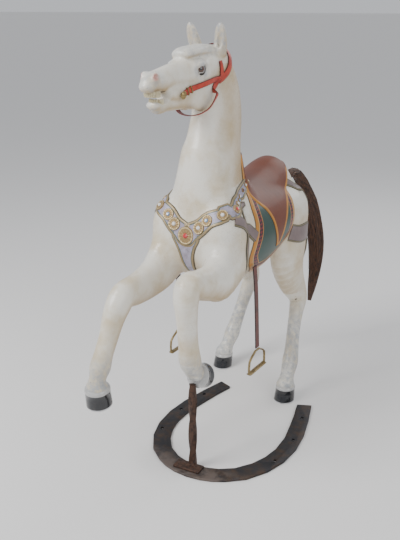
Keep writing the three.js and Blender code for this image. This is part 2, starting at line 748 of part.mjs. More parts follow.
// ---------------------------------------------------------------- rosettes and their jewels
// Left arm of the collar: [x, y, z, disc radius, jewel radius, colour of the glass].
const WHITE = 0xe8e6e0;
const BLUE = 0x5b86b4;
const RED = 0xb4262a;
const DARK = 0x4a2040;
const JEWELS = [
  [50, 164, 811, 22, 7.5, WHITE], [80, 184, 838, 20, 7, BLUE], [110, 205, 858, 19, 7, WHITE],
  [120, 247, 867, 16, 6.5, RED], [130, 270, 880, 9, 5.5, WHITE], [130, 297, 885, 8, 5, BLUE],
  [130, 325, 893, 8, 5, WHITE], [120, 364, 904, 8, 4.6, DARK], [100, 401, 912, 8, 4.6, WHITE],
  [80, 434, 919, 8, 4.6, WHITE],
];
const CENTRE_JEWEL = [0, 158, 778, 31, 9.5, RED];
const DISC_LIFT = COLLAR_LIFT + 3;
const jewelRows = [CENTRE_JEWEL, ...JEWELS, ...mirrored(JEWELS)];

function placed([x, y, z, disc, radius, colour]) {
  const point = settleLevel([x, y, z]);
  return { point, axis: slope(point, 12).normal, disc, radius, colour };
}
const jewels = jewelRows.map(placed);

function rosette({ point, axis, disc }) {
  const count = disc > 12 ? 10 : 8;
  const top = ringAt(along(point, axis, DISC_LIFT), axis, disc * 0.94, count);
  const middle = ringAt(along(point, axis, DISC_LIFT - 1.4), axis, disc, count);
  return solid(loft([ringAt(along(point, axis, -4), axis, disc, count), middle, top]));
}

function jewel({ point, axis, radius }) {
  const base = DISC_LIFT + GAP;
  const low = ringAt(along(point, axis, base), axis, radius, 8);
  return solid(loft([low, ringAt(along(point, axis, base + radius * 0.62), axis, radius * 0.6, 8)]));
}

/** Room for a jewel where the form round it rises above its disc. */
function jewelRoom({ point, axis, radius }) {
  const heights = [DISC_LIFT + 0.05, DISC_LIFT + 14];
  return solid(loft(heights.map((h) => ringAt(along(point, axis, h), axis, radius + 0.6, 8))));
}

// ---------------------------------------------------------------- hooves, teeth and eyes
const HOOF_SIDES = 14;

/** A hoof: rings from the pastern down to the flat sole. */
function hoof(pastern, coronet, sole, axis, radii) {
  const [inner, top, flare, bottom] = radii;
  return solid(loft([
    ringAt(pastern, axis, inner, HOOF_SIDES),
    ringAt(coronet, axis, top, HOOF_SIDES),
    ringAt(along(coronet, axis, 7), axis, flare, HOOF_SIDES),
    ringAt(sole, axis, bottom, HOOF_SIDES),
  ]));
}

const DOWN = [0, 0, -1];
const LEFT_FORE_AXIS = unit([0, 0.93, -0.37]);
const RIGHT_FORE_AXIS = unit([-0.03, 0.14, -0.99]);
const hooves = [
  hoof([184, 606, 74], [185, 604, 62], [186, 590, 0], DOWN, [26, 36, [38.5, 40], [41, 43]]),
  hoof([-177, 734, 74], [-177, 731, 62], [-176, 715, 0], DOWN, [26, 36, [38.5, 40], [41, 43]]),
  hoof([126, 12, 351], [126, 24, 346], [126, 66, 329], LEFT_FORE_AXIS, [27, 40, 42, 43]),
  hoof([-117.6, -202, 352], [-118, -200, 338], [-120, -190, 268], RIGHT_FORE_AXIS, [27, 40, 43, 44]),
];

/** A row of teeth following the curve of the lips, from bottom to top. */
function teeth(front, low, high, half) {
  const rings = [];
  for (let k = 0; k <= 6; k++) {
    const t = k / 3 - 1;
    const y = front + 16 * t * t;
    rings.push([[half * t, y, low], [half * t, y + 12, low], [half * t, y + 12, high], [half * t, y, high]]);
  }
  return solid(loft(rings));
}
const mouthParts = [teeth(-44, 1251, 1272, 27), teeth(-24, 1220, 1246, 24)];

const EYE = [46, 167, 1321];
const EYE_RADIUS = 18;
function ball([x, y, z], radius) {
  const rings = [];
  for (let k = 1; k < 6; k++) {
    const a = (k / 6) * Math.PI;
    rings.push(ringAt([x + radius * Math.cos(a), y, z], [-1, 0, 0], radius * Math.sin(a), 10));
  }
  return solid(loft(rings));
}
const eyePlaces = [EYE, [-EYE[0], EYE[1], EYE[2]]];

// ---------------------------------------------------------------- stand
const BAR_AT = [123, 0];
const BAR_TOP = 322;
const BAR_WIDTH = 22;
const BAR_TURNS = 0.65;
const SHOE_THICK = 9;
const FOOT_THICK = 6;

/** The square bar, twisted evenly along its length; `spare` makes the socket a little larger. */
function twistedBar(low, high, spare = 0) {
  const rings = [];
  const steps = 18;
  for (let k = 0; k <= steps; k++) {
    const z = mix(low, high, k / steps);
    const turn = (z / BAR_TOP) * BAR_TURNS * Math.PI * 2 + 0.5;
    const reach = BAR_WIDTH / Math.SQRT2 + spare * Math.SQRT2;
    const corner = (n) => turn + (n * Math.PI) / 2;
    rings.push([0, 1, 2, 3].map((n) => [
      BAR_AT[0] + reach * Math.cos(corner(n)), BAR_AT[1] + reach * Math.sin(corner(n)), z,
    ]));
  }
  return solid(loft(rings));
}

/** A flat box, turned about its upright middle. */
function plate([x, y], [length, width], low, high, degrees) {
  const a = THREE.MathUtils.degToRad(degrees);
  const corner = ([u, v]) => [
    x + u * length * Math.cos(a) - v * width * Math.sin(a), y + u * length * Math.sin(a) + v * width * Math.cos(a),
  ];
  const flat = [[-0.5, -0.5], [0.5, -0.5], [0.5, 0.5], [-0.5, 0.5]].map(corner);
  return solid(loft([low, high].map((z) => flat.map(([px, py]) => [px, py, z]))));
}

// Horseshoe: half width outside and inside at each y, before it is turned to follow the horse.
const SHOE_MIDDLE = 120;
const SHOE_OUTER = [
  [0, -60], [50, -55], [90, -43], [130, -22], [186, 23], [232, 97], [258, 178], [266, 270], [257, 365], [232, 478],
  [203, 582],
];
const SHOE_INNER = [
  [150, 560], [170, 480], [186, 400], [201, 315], [202, 230], [190, 168], [167, 112], [126, 56], [80, 25], [27, 8],
  [0, 6],
];
const NAILS = [[-228, 152], [-236, 305], [-214, 452], [228, 165], [234, 318], [205, 475]];

function horseshoe() {
  const inner = SHOE_INNER.slice(0, -1).reverse();
  const outline = [
    ...SHOE_OUTER, ...SHOE_INNER, ...inner.map(([x, y]) => [-x, y]),
    ...SHOE_OUTER.slice(1).reverse().map(([x, y]) => [-x, y]),
  ];
  const shape = new THREE.Shape(outline.map(([x, y]) => new THREE.Vector2(x, y)));
  for (const [x, y] of NAILS) {
    const hole = new THREE.Path();
    const spots = [[-5, -7], [5, -7], [5, 7], [-5, 7]];
    hole.setFromPoints(spots.map(([u, v]) => new THREE.Vector2(x + u, y + v)));
    hole.closePath();
    shape.holes.push(hole);
  }
  const geometry = new THREE.ExtrudeGeometry(shape, { depth: SHOE_THICK, bevelEnabled: false, steps: 1 });
  geometry.deleteAttribute("normal");
  geometry.deleteAttribute("uv");
  geometry.rotateZ(THREE.MathUtils.degToRad(2.6));
  geometry.translate(SHOE_MIDDLE + 11, 0, 0);
  const merged = mergeVertices(geometry, 1e-4);
  const place = merged.getAttribute("position");
  const vertices = [];
  for (let i = 0; i < place.count; i++) vertices.push([place.getX(i), place.getY(i), place.getZ(i)]);
  const index = [...merged.getIndex().array];
  const faces = [];
  for (let i = 0; i < index.length; i += 3) faces.push(index.slice(i, i + 3));
  return solid(outward({ vertices, faces }));
}

const plateLow = SHOE_THICK + GAP;
const plateHigh = plateLow + FOOT_THICK;
const bar = twistedBar(plateHigh - 2, BAR_TOP).add(plate([BAR_AT[0] - 6, -18], [98, 45], plateLow, plateHigh, 4));

// ---------------------------------------------------------------- tail
const TAIL = [
  [0, 905, 800, 15, 15], [0, 945, 838, 19, 17], [2, 1000, 842, 22, 18], [6, 1055, 800, 27, 22], [14, 1095, 745, 31, 26],
  [25, 1130, 680, 35, 30], [35, 1152, 600, 37, 32], [45, 1165, 520, 37, 32], [49, 1170, 440, 34, 30],
  [50, 1162, 360, 28, 25], [50, 1142, 290, 20, 18], [50, 1120, 222, 9, 8],
];
function tailSolid(spare = 0) {
  const rows = withTangents(TAIL);
  return solid(loft(rows.map(([x, y, z, w, d, ...t]) => ringAt([x, y, z], t, [w + spare, d + spare], 8))));
}

// ---------------------------------------------------------------- bridle, stirrup leathers and irons
const STRAP_THICK = 3;
const STRAP_CLEAR = 2.2;

/** A leather strap lying just off the surface. */
function leather(line, steps = 2) {
  const path = refine(line, steps);
  const grid = across(path, EDGES);
  return solid(loft(grid.map((row) => {
    const { normal } = slope(row[0].map((v, k) => (v + row[1][k]) / 2), 4);
    const low = row.map((p) => along(p, normal, STRAP_CLEAR));
    const high = row.map((p) => along(p, normal, STRAP_CLEAR + STRAP_THICK));
    return [low[0], low[1], high[1], high[0]];
  })));
}
const CROWN = [
  [72, 268, 1276, 11], [72, 288, 1290, 12], [66, 316, 1312, 13], [56, 332, 1342, 14], [36, 342, 1372, 14],
  [0, 340, 1388, 14],
];
const CHEEK = [
  [70, 280, 1286, 9], [70, 240, 1285, 9], [68, 200, 1280, 9], [62, 150, 1271, 9], [54, 112, 1262, 9], [48, 86, 1254, 9],
];
const TEMPLE = [[70, 280, 1296, 10], [68, 272, 1318, 9], [62, 268, 1340, 8]];
// The throat strap hangs clear of the jaw: [x, y, z] and the direction it faces.
const THROAT = [
  [74, 272, 1284], [75, 240, 1258], [72, 218, 1228], [62, 198, 1200], [36, 180, 1182], [0, 174, 1176],
];
/** A section of the throat strap where it runs into the crown piece. */
function joined(place, way) {
  const p = settle(place, 8);
  const { normal } = slope(p, 4);
  const side = unit(cross(way, normal));
  const heights = [[-9, 0.4], [9, 0.4], [9, 3.2], [-9, 3.2]];
  return heights.map(([u, h]) => along(along(p, side, u), normal, STRAP_CLEAR + h));
}
function throatStrap() {
  const line = refine(roundTheBack(THROAT), 2);
  const rows = withTangents(line);
  return solid(loft(rows.map(([x, y, z, ...t]) => {
    if (z > 1250) return joined([x, y, z], t);
    const out = unit([x, -20, 2.4 * (z - 1265)]);
    const side = unit(cross(t, out));
    const flat = unit(cross(side, t));
    const p = [x, y, z];
    return [[-1, 0], [1, 0], [1, 1], [-1, 1]].map(([u, v]) => along(along(p, side, u * 9), flat, v * STRAP_THICK));
  })));
}
const bridle = addUp([
  leather(roundTheBack(CROWN)), ...bothSides(CHEEK).map((line) => leather(line)),
  ...bothSides(TEMPLE).map((line) => leather(line)), throatStrap(),
]);

const BIT = [47, 76, 1250];
function bitRosette(side) {
  const point = settle([BIT[0] * side, BIT[1], BIT[2]], 8);
  const axis = slope(point, 8).normal;
  const base = STRAP_CLEAR + STRAP_THICK + GAP + 0.6;
  const heights = [[base, 12], [base + 4, 12], [base + 8, 7]];
  return solid(loft(heights.map(([h, r]) => ringAt(along(point, axis, h), axis, r, 12))));
}

const LEATHER_LINE = [[160, 352, 640], [166, 355, 560], [170, 360, 440], [172, 366, 322]];
function stirrupLeather(side) {
  const half = [13, 2.2];
  return solid(loft(refine(LEATHER_LINE, 2).map(([x, y, z]) => [[-1, -1], [1, -1], [1, 1], [-1, 1]].map(
    ([u, v]) => [x * side + v * half[1], y + u * half[0], z],
  ))));
}

const IRON_TOP = 312;
// Half outline of a stirrup iron: [across, down from the top].
const IRON = [
  [0, 0], [15, 0], [22, 5], [44, 16], [57, 28], [60, 44], [60, 66], [59, 77], [30, 77], [0, 77],
];
function stirrupIron(side) {
  const line = [...IRON.slice(0, -1), ...IRON.slice(1).reverse().map(([u, d]) => [-u, d])];
  const middle = [172 * side, 366, IRON_TOP];
  const count = line.length;
  const rings = line.map(([u, d], i) => {
    const [bu, bd] = line[(i + count - 1) % count];
    const [au, ad] = line[(i + 1) % count];
    const way = unit([0, au - bu, bd - ad]);
    const side2 = cross(way, [1, 0, 0]);
    const tread = d > 70 ? 2.4 : 1;
    const centre = [middle[0], middle[1] + u, middle[2] - d];
    return [0, 1, 2, 3].map((n) => {
      const a = (n / 4) * 2 * Math.PI + Math.PI / 4;
      const wide = 6 * tread * Math.cos(a);
      const deep = 4.4 * Math.sin(a);
      return [centre[0] + wide, centre[1] + side2[1] * deep, centre[2] + side2[2] * deep];
    });
  });
  return solid(loft(rings, { loop: true }));
}

// ---------------------------------------------------------------- putting the horse together
const net = surfaceNet({ low: [-260, -300, -20], high: [260, 960, 1480] });
const coarse = simplify(net, BODY_FACES, headWeight);
const joinedForm = addUp([solid(coarse), ...carvings, ...hooves, ...mouthParts]);
const carved = simplify(filled(meshOf(joinedForm)), CARVED_FACES, headWeight);
const horse = addUp([solid(carved), ...jewels.map(rosette)]);
const sockets = [
  ...eyePlaces.map((place) => ball(place, EYE_RADIUS + GAP + 0.1)),
  ...jewels.map(jewelRoom),
  twistedBar(280, BAR_TOP + GAP, GAP),
  tailSolid(GAP + 0.2),
];
const pieces = [];
const piece = (name, body, colour, roughness, metalness) => pieces.push({ name, body, colour, roughness, metalness });
piece("horse", sockets.reduce((a, b) => a.subtract(b), horse), 0xe9e2cf, 0.45, 0);
piece("tail", tailSolid(), 0x3a2218, 0.6, 0);
piece("bridle", bridle, 0xb02418, 0.5, 0);
piece("stirrup_leather_left", stirrupLeather(1), 0x5a1f14, 0.55, 0);
piece("stirrup_leather_right", stirrupLeather(-1), 0x5a1f14, 0.55, 0);
piece("stirrup_iron_left", stirrupIron(1), 0x8c7442, 0.4, 1);
piece("stirrup_iron_right", stirrupIron(-1), 0x8c7442, 0.4, 1);
piece("bit_rosette_left", bitRosette(1), 0x9a7b3c, 0.35, 1);
piece("bit_rosette_right", bitRosette(-1), 0x9a7b3c, 0.35, 1);
piece("eye_left", ball(eyePlaces[0], EYE_RADIUS), 0x2c130a, 0.1, 0);
piece("eye_right", ball(eyePlaces[1], EYE_RADIUS), 0x2c130a, 0.1, 0);
piece("horseshoe", horseshoe(), 0x35302c, 0.6, 0.6);
piece("stand_bar", bar, 0x4a2f22, 0.7, 0.6);
jewels.forEach((row, i) => piece(`jewel_${String(i + 1).padStart(2, "0")}`, jewel(row), row.colour, 0.15, 0));

const group = new THREE.Group();
const low = [0, 1, 2].map((k) => Math.min(...pieces.map(({ body }) => body.boundingBox().min[k])));
const high = [0, 1, 2].map((k) => Math.max(...pieces.map(({ body }) => body.boundingBox().max[k])));
const origin = [(low[0] + high[0]) / 2, (low[1] + high[1]) / 2, low[2]];
for (const { name, body, colour, roughness, metalness } of pieces) {
  const mesh = body.getMesh();
  const places = Float32Array.from(mesh.vertProperties, (v, i) => v - origin[i % 3]);
  const geometry = new THREE.BufferGeometry();
  geometry.setAttribute("position", new THREE.BufferAttribute(places, 3));
  geometry.setIndex(new THREE.BufferAttribute(mesh.triVerts, 1));
  geometry.computeVertexNormals();
  const material = new THREE.MeshStandardMaterial({ color: colour, roughness, metalness });
  const node = new THREE.Mesh(geometry, material);
  node.name = name;
  group.add(node);
}

export default group;
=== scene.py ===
"""Carousel horse on its horseshoe stand: carved forms, paint, leather, hair and studio."""
import math

import bpy
import numpy as np
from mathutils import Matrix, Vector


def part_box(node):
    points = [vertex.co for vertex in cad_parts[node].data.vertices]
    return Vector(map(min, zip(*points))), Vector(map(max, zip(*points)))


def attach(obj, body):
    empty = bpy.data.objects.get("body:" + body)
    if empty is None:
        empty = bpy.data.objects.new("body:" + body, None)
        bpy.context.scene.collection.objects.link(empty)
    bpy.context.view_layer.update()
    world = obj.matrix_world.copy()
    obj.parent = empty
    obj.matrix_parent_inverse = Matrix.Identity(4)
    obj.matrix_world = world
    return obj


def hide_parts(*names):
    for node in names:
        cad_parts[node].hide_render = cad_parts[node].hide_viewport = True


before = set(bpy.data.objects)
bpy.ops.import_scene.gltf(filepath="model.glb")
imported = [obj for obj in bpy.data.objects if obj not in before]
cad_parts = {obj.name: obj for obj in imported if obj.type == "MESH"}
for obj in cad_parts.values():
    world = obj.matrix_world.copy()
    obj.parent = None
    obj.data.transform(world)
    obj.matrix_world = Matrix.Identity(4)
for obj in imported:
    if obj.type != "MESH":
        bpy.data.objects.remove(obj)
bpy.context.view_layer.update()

bl_info = {
    "name": "Carousel Horse",
    "version": (1, 0, 0),
    "blender": (4, 5, 0),
    "location": "View3D > Sidebar > Carousel Horse",
    "description": "Builds a carved and painted carousel horse on its horseshoe stand",
    "category": "Object",
}

# Sizes are in millimetres in the horse's own frame: x = 0 is its middle, +X its left, it faces -Y,
# z = 0 is the floor, and the bar stands at (123, 0).
EYE = np.array([46.0, 167.0, 1321.0])
EYE_RADIUS = 18.0
_low, _high = (np.array(corner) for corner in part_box("eye_left"))
ORIGIN = np.array([EYE[0], EYE[1], 0.0]) - 500.0 * np.append((_low + _high)[:2], 0.0)


def place(points):
    """Horse frame in millimetres to the row frame in metres."""
    return (np.asarray(points, float) - ORIGIN) / 1000.0


# ---------------------------------------------------------------- stations of the carved form
# Rows along a spine: x, y, z, half width, half depth.
TRUNK = [
    (0, 278, 740, 146, 116), (0, 300, 732, 160, 150), (0, 345, 726, 170, 168), (0, 440, 724, 176, 170),
    (0, 540, 733, 174, 157), (0, 640, 748, 166, 135), (0, 720, 754, 154, 110), (0, 790, 748, 130, 96),
    (0, 832, 740, 104, 78),
]
NECK = [
    (0, 330, 800, 108, 132), (0, 325, 880, 99, 136), (0, 322, 950, 92, 124), (0, 322, 1020, 89, 122),
    (0, 338, 1090, 81, 114), (0, 350, 1150, 76, 109), (0, 348, 1215, 72, 101), (0, 336, 1270, 65, 90),
    (0, 312, 1325, 56, 66),
]
BREAST = [
    (0, 276, 790, 130, 100), (0, 270, 840, 130, 88), (0, 266, 880, 124, 80), (0, 270, 950, 97, 78),
    (0, 296, 1010, 82, 88),
]
SKULL = [
    (0, 322, 1332, 50, 50), (0, 262, 1324, 59, 60), (0, 200, 1316, 60, 58), (0, 150, 1308, 53, 54),
    (0, 105, 1302, 41, 45), (0, 60, 1299, 33, 40), (0, 15, 1296, 30, 35), (0, -20, 1293, 29, 31),
    (0, -42, 1287, 26, 24),
]
JAW = [
    (0, 215, 1235, 42, 46), (0, 150, 1231, 36, 34), (0, 90, 1226, 29, 25), (0, 40, 1222, 27, 20),
    (0, 5, 1221, 27, 17), (0, -18, 1226, 25, 13),
]
CHEEKS = [(0, 180, 1262, 46, 52), (0, 120, 1257, 43, 42), (0, 70, 1255, 39, 34), (0, 40, 1254, 34, 24)]
MOUTH = [(0, 26, 1254, 60, 1.5), (0, 10, 1252, 60, 6), (0, -25, 1250, 60, 12), (0, -75, 1250, 60, 15)]
FORELOCK = [
    (0, 285, 1366, 46, 24), (0, 240, 1371, 48, 22), (0, 190, 1370, 46, 20), (0, 150, 1367, 40, 19),
    (0, 130, 1362, 32, 17),
]
SEAT = [
    (0, 440, 790, 112, 112), (0, 520, 790, 114, 114), (0, 600, 792, 114, 118), (0, 670, 796, 113, 126),
    (0, 730, 800, 111, 139), (0, 772, 802, 109, 143),
]
FORE_LEFT = [
    (112, 240, 686, 64, 104), (126, 160, 654, 56, 86), (130, 92, 656, 46, 62), (132, 22, 670, 42, 50),
    (132, -32, 682, 43, 45), (133, -50, 650, 41, 43), (134, -50, 600, 35, 38), (134, -46, 540, 32, 34),
    (133, -38, 480, 32, 34), (131, -28, 430, 36, 38), (128, -8, 392, 33, 33), (126, 12, 362, 29, 29),
    (126, 40, 344, 26, 26),
]
FORE_RIGHT = [
    (-112, 235, 690, 64, 96), (-114, 165, 640, 54, 80), (-110, 95, 620, 47, 66), (-104, 10, 614, 42, 56),
    (-100, -66, 616, 42, 47), (-101, -98, 588, 40, 45), (-103, -122, 550, 35, 40), (-105, -144, 500, 31, 34),
    (-109, -170, 445, 31, 32), (-113, -186, 402, 34, 36), (-116, -198, 366, 27, 29),
    (-118, -200, 340, 37, 37),
]
HIND_LEFT = [
    (94, 758, 715, 66, 112), (112, 722, 640, 62, 118), (124, 701, 560, 54, 101), (132, 722, 480, 44, 76),
    (138, 768, 410, 35, 56), (142, 782, 365, 33, 46), (148, 754, 315, 28, 32), (155, 722, 250, 26, 29),
    (165, 690, 180, 28, 31), (173, 662, 135, 32, 35), (179, 628, 92, 27, 30), (184, 604, 62, 37, 39),
]
HIND_RIGHT = [
    (-94, 758, 715, 66, 112), (-112, 748, 640, 62, 116), (-124, 768, 560, 54, 98), (-132, 822, 480, 44, 72),
    (-138, 884, 410, 35, 54), (-142, 896, 360, 33, 46), (-148, 868, 305, 28, 32), (-156, 836, 240, 26, 29),
    (-164, 806, 175, 28, 31), (-170, 784, 132, 32, 35), (-175, 756, 92, 27, 30), (-178, 732, 62, 37, 39),
]


# ---------------------------------------------------------------- carved form as a distance field
def mix(a, b, t):
    return a + (b - a) * t


def step(low, high, value):
    """Smooth step from 0 at low to 1 at high."""
    t = np.clip((value - low) / (high - low), 0.0, 1.0)
    return t * t * (3.0 - 2.0 * t)


def unit(v):
    v = np.asarray(v, float)
    return v / np.maximum(np.linalg.norm(v, axis=-1, keepdims=True), 1e-9)


def refine(rows, steps):
    """Fills in stations between each pair, on a smooth curve."""
    rows = np.array(rows, float)
    last = len(rows) - 1
    out = []
    for i in range(last):
        p0, p1, p2, p3 = rows[max(i - 1, 0)], rows[i], rows[i + 1], rows[min(i + 2, last)]
        for s in range(steps):
            t = s / steps
            c = 2 * p0 - 5 * p1 + 4 * p2 - p3
            d = 3 * p1 - p0 - 3 * p2 + p3
            out.append(0.5 * (2 * p1 + (p2 - p0) * t + c * t * t + d * t ** 3))
    out.append(rows[last])
    return np.array(out)


def tangents(points):
    ahead = np.vstack([points[1:], points[-1:]])
    behind = np.vstack([points[:1], points[:-1]])
    return unit(ahead - behind)


def ellipse_distance(a, b, c, ra, rb, rc):
    k0 = np.sqrt((a / ra) ** 2 + (b / rb) ** 2 + (c / rc) ** 2)
    k1 = np.sqrt((a / ra ** 2) ** 2 + (b / rb ** 2) ** 2 + (c / rc ** 2) ** 2)
    return np.where(k0 < 1e-6, -np.minimum(ra, rb), k0 * (k0 - 1) / np.maximum(k1, 1e-9))


class Limb:
    """Elliptical sections along a smooth spine, rounded off at both ends."""

    def __init__(self, stations, blend=30, end=0.8, carve=False):
        rows = refine(stations, 4)
        self.rows = np.hstack([rows[:, :5], tangents(rows[:, :3])])
        reach = np.maximum(rows[:, 3], rows[:, 4])[:, None]
        self.low = (rows[:, :3] - reach).min(0)
        self.high = (rows[:, :3] + reach).max(0)
        self.blend, self.end, self.carve = blend, end, carve

    def distance(self, p):
        a = self.rows[:-1, :3]
        d = self.rows[1:, :3] - a
        length2 = (d * d).sum(1)
        ahead = p @ d.T - (a * d).sum(1)
        t = np.clip(ahead / length2, 0, 1)
        far = -2 * (p @ a.T) + (a * a).sum(1) - 2 * t * ahead + t * t * length2
        at = far.argmin(1)
        part = t[np.arange(len(p)), at]
        here = mix(self.rows[at], self.rows[at + 1], part[:, None])
        way = unit(here[:, 5:])
        q = p - here[:, :3]
        side = unit(np.array([1.0, 0.0, 0.0]) - way * way[:, :1])
        deep = np.cross(way, side)
        ends = ((at == 0) & (part == 0)) | ((at == len(a) - 1) & (part == 1))
        along = np.where(ends, (q * way).sum(1), 0.0)
        width, depth = here[:, 3], here[:, 4]
        tip = np.minimum(width, depth) * self.end
        return ellipse_distance((q * side).sum(1), (q * deep).sum(1), along, width, depth, tip)


class Lump:
    """An ellipsoid turned by three angles in degrees."""

    def __init__(self, centre, radii, turn=(0, 0, 0), blend=25, carve=False):
        x, y, z = (math.radians(v) for v in turn)
        rx = np.array([[1, 0, 0], [0, math.cos(x), -math.sin(x)], [0, math.sin(x), math.cos(x)]])
        ry = np.array([[math.cos(y), 0, math.sin(y)], [0, 1, 0], [-math.sin(y), 0, math.cos(y)]])
        rz = np.array([[math.cos(z), -math.sin(z), 0], [math.sin(z), math.cos(z), 0], [0, 0, 1]])
        self.turn = rx @ ry @ rz
        self.centre, self.radii = np.array(centre, float), radii
        self.low = self.centre - max(radii)
        self.high = self.centre + max(radii)
        self.blend, self.carve = blend, carve

    def distance(self, p):
        q = (p - self.centre) @ self.turn
        return ellipse_distance(q[:, 0], q[:, 1], q[:, 2], *self.radii)


def pair(centre, radii, turn=(0, 0, 0), **rest):
    """The same lump on both sides of the horse."""
    x, y, z = centre
    tx, ty, tz = turn
    return [Lump(centre, radii, turn, **rest), Lump((-x, y, z), radii, (tx, -ty, -tz), **rest)]


def soft_min(a, b, k):
    h = np.maximum(k - np.abs(a - b), 0)
    return np.minimum(a, b) - h * h / (4 * k)


def field(p):
    """Distance from the carved form, for points in the horse frame."""
    d = np.full(len(p), 1e6)
    for shape in SHAPES:
        near = np.linalg.norm(np.maximum(np.maximum(shape.low - p, p - shape.high), 0), axis=1)
        if shape.carve:
            at = np.flatnonzero(-near > d - shape.blend)
            if len(at):
                d[at] = -soft_min(-d[at], shape.distance(p[at]), shape.blend)
        else:
            at = np.flatnonzero(near < d + shape.blend)
            if len(at):
                d[at] = soft_min(d[at], shape.distance(p[at]), shape.blend)
    return d


def slope(p, reach=0.6):
    """Outward unit normals of the form at p, and the steepness there."""
    g = np.empty_like(p)
    for k in range(3):
        move = np.zeros(3)
        move[k] = reach
        g[:, k] = (field(p + move) - field(p - move)) / (2 * reach)
    size = np.maximum(np.linalg.norm(g, axis=1), 1e-6)
    return g / size[:, None], size


def settle(p, rounds=3):
    """Moves points onto the surface of the form."""
    p = np.array(p, float)
    for _ in range(rounds):
        normal, size = slope(p)
        p -= normal * np.clip(field(p) / size, -6, 6)[:, None]
    return p


def settle_level(p):
    """Moves points onto the surface, level where the surface is steep enough."""
    p = np.array(p, float)
    for _ in range(12):
        normal, size = slope(p)
        flat = np.linalg.norm(normal[:, :2], axis=1)
        steep = flat > 0.6
        way = np.where(steep[:, None], normal * [1, 1, 0] / np.maximum(flat, 1e-6)[:, None], normal)
        p -= way * np.clip(field(p) / size / np.where(steep, flat, 1), -12, 12)[:, None]
    return p


def shoot(start, way):
    """First surface points met on the way from start in the given directions."""
    p = np.array(start, float)
    for _ in range(46):
        d = field(p)
        p += way * np.where(d > 0.2, np.maximum(d * 0.7, 0.2), 0)[:, None]
    return p


def ear(side):
    shell = [(43, 296, 1362, 20, 25), (48, 290, 1390, 22, 19), (53, 281, 1422, 20, 12),
             (56, 275, 1444, 14, 8), (57, 273, 1453, 7, 5)]
    hollow = [(50, 276, 1384, 6, 6), (57, 270, 1404, 12, 8), (62, 264, 1426, 11, 8), (62, 264, 1442, 6, 5)]
    rows = [[(x * side, *rest) for x, *rest in part] for part in (shell, hollow)]
    return [Limb(rows[0], blend=6), Limb(rows[1], blend=3, carve=True)]


def mane_lock(k):
    """One lock of the mane on the right side of the neck; the middle one is the longest."""
    z = 1318 - 66 * k
    y = 408 + 24 * math.sin(min(k, 4) * 0.45)
    side = 66 + 4.5 * k
    reach = 44 if k == 2 else 8
    wave = 9 if k % 2 else -7
    return Limb([
        (-8, y, z, 16, 26), (-38, y - 10, z - 12, 16, 26), (-side + 6, y - 34 - wave, z - 44, 15, 25),
        (-side - 6, y - 46 - reach, z - 84, 14, 19), (-side - 8, y - 60 - reach * 1.4, z - 104 + wave, 9, 11),
    ], blend=7)


# Directions on the left eye: out of the head, towards the nose, and up.
EYE_OUT = unit([0.86, -0.48, 0.14])
EYE_FORE = unit(np.cross([0, 0, 1], EYE_OUT)) * -1
EYE_UP = np.cross(EYE_OUT, EYE_FORE) * -1


def on_eye(angle, lift, side):
    """Point over the eyeball: at an angle round its front, 0 at the nose side and 90 at the top."""
    a = math.radians(angle)
    open_ = math.radians(62 - 26 * math.sin(a) ** 2 + (5 if a < 0 else 0) * math.sin(a) ** 2)
    way = EYE_OUT * math.cos(open_) + (EYE_FORE * math.cos(a) + EYE_UP * math.sin(a)) * math.sin(open_)
    point = EYE + way * (EYE_RADIUS + lift)
    return point * [side, 1, 1]


def eyelids(side):
    """Upper and lower lid: two rolls that meet at the corners of the eye."""
    upper = (2.2, ((0, 2.0), (40, 4.2), (90, 5.0), (140, 4.4), (180, 2.2)))
    lower = (1.4, ((0, 2.0), (-45, 3.2), (-90, 3.6), (-135, 3.2), (-180, 2.0)))
    return [Limb([(*on_eye(a, lift, side), w, w) for a, w in roll], blend=5) for lift, roll in (upper, lower)]


EYE_ROOM = [Lump(EYE * [s, 1, 1], [EYE_RADIUS + 0.6] * 3, blend=1.5, carve=True) for s in (1, -1)]
SHAPES = [
    Limb(TRUNK, blend=1, end=1),
    Limb(SEAT, blend=10, end=0.12),
    Limb(NECK, blend=60),
    Limb(BREAST, blend=40, end=0.5),
    *pair((100, 235, 770), (74, 78, 108), (12, 0, 0), blend=40),
    *pair((54, 226, 735), (70, 60, 104), blend=40),
    Limb(SKULL, blend=34),
    *pair((32, 205, 1250), (24, 66, 64), blend=24),
    *pair((40, 172, 1336), (21, 32, 13), (8, 0, 24), blend=16),
    *pair((20, -30, 1310), (10, 17, 15), (10, 0, 20), blend=9),
    Lump((0, -48, 1281), (24, 18, 15), blend=10),
    Limb(JAW, blend=12),
    Limb(CHEEKS, blend=10, end=0.5),
    Lump((0, 6, 1214), (20, 22, 14), blend=12),
    Limb(MOUTH, blend=5, carve=True),
    *pair((29, -40, 1311), (7, 10, 8), (10, 0, 20), blend=4, carve=True),
    Limb(FORELOCK, blend=8, end=0.6),
    *ear(1), *ear(-1),
    *[mane_lock(k) for k in range(5)],
    Limb(FORE_LEFT, blend=26),
    Limb(FORE_RIGHT, blend=26),
    *pair((82, 762, 750), (80, 96, 88), blend=40),
    Limb(HIND_LEFT, blend=26),
    Limb(HIND_RIGHT, blend=26),
    *eyelids(1), *eyelids(-1), *EYE_ROOM,
]


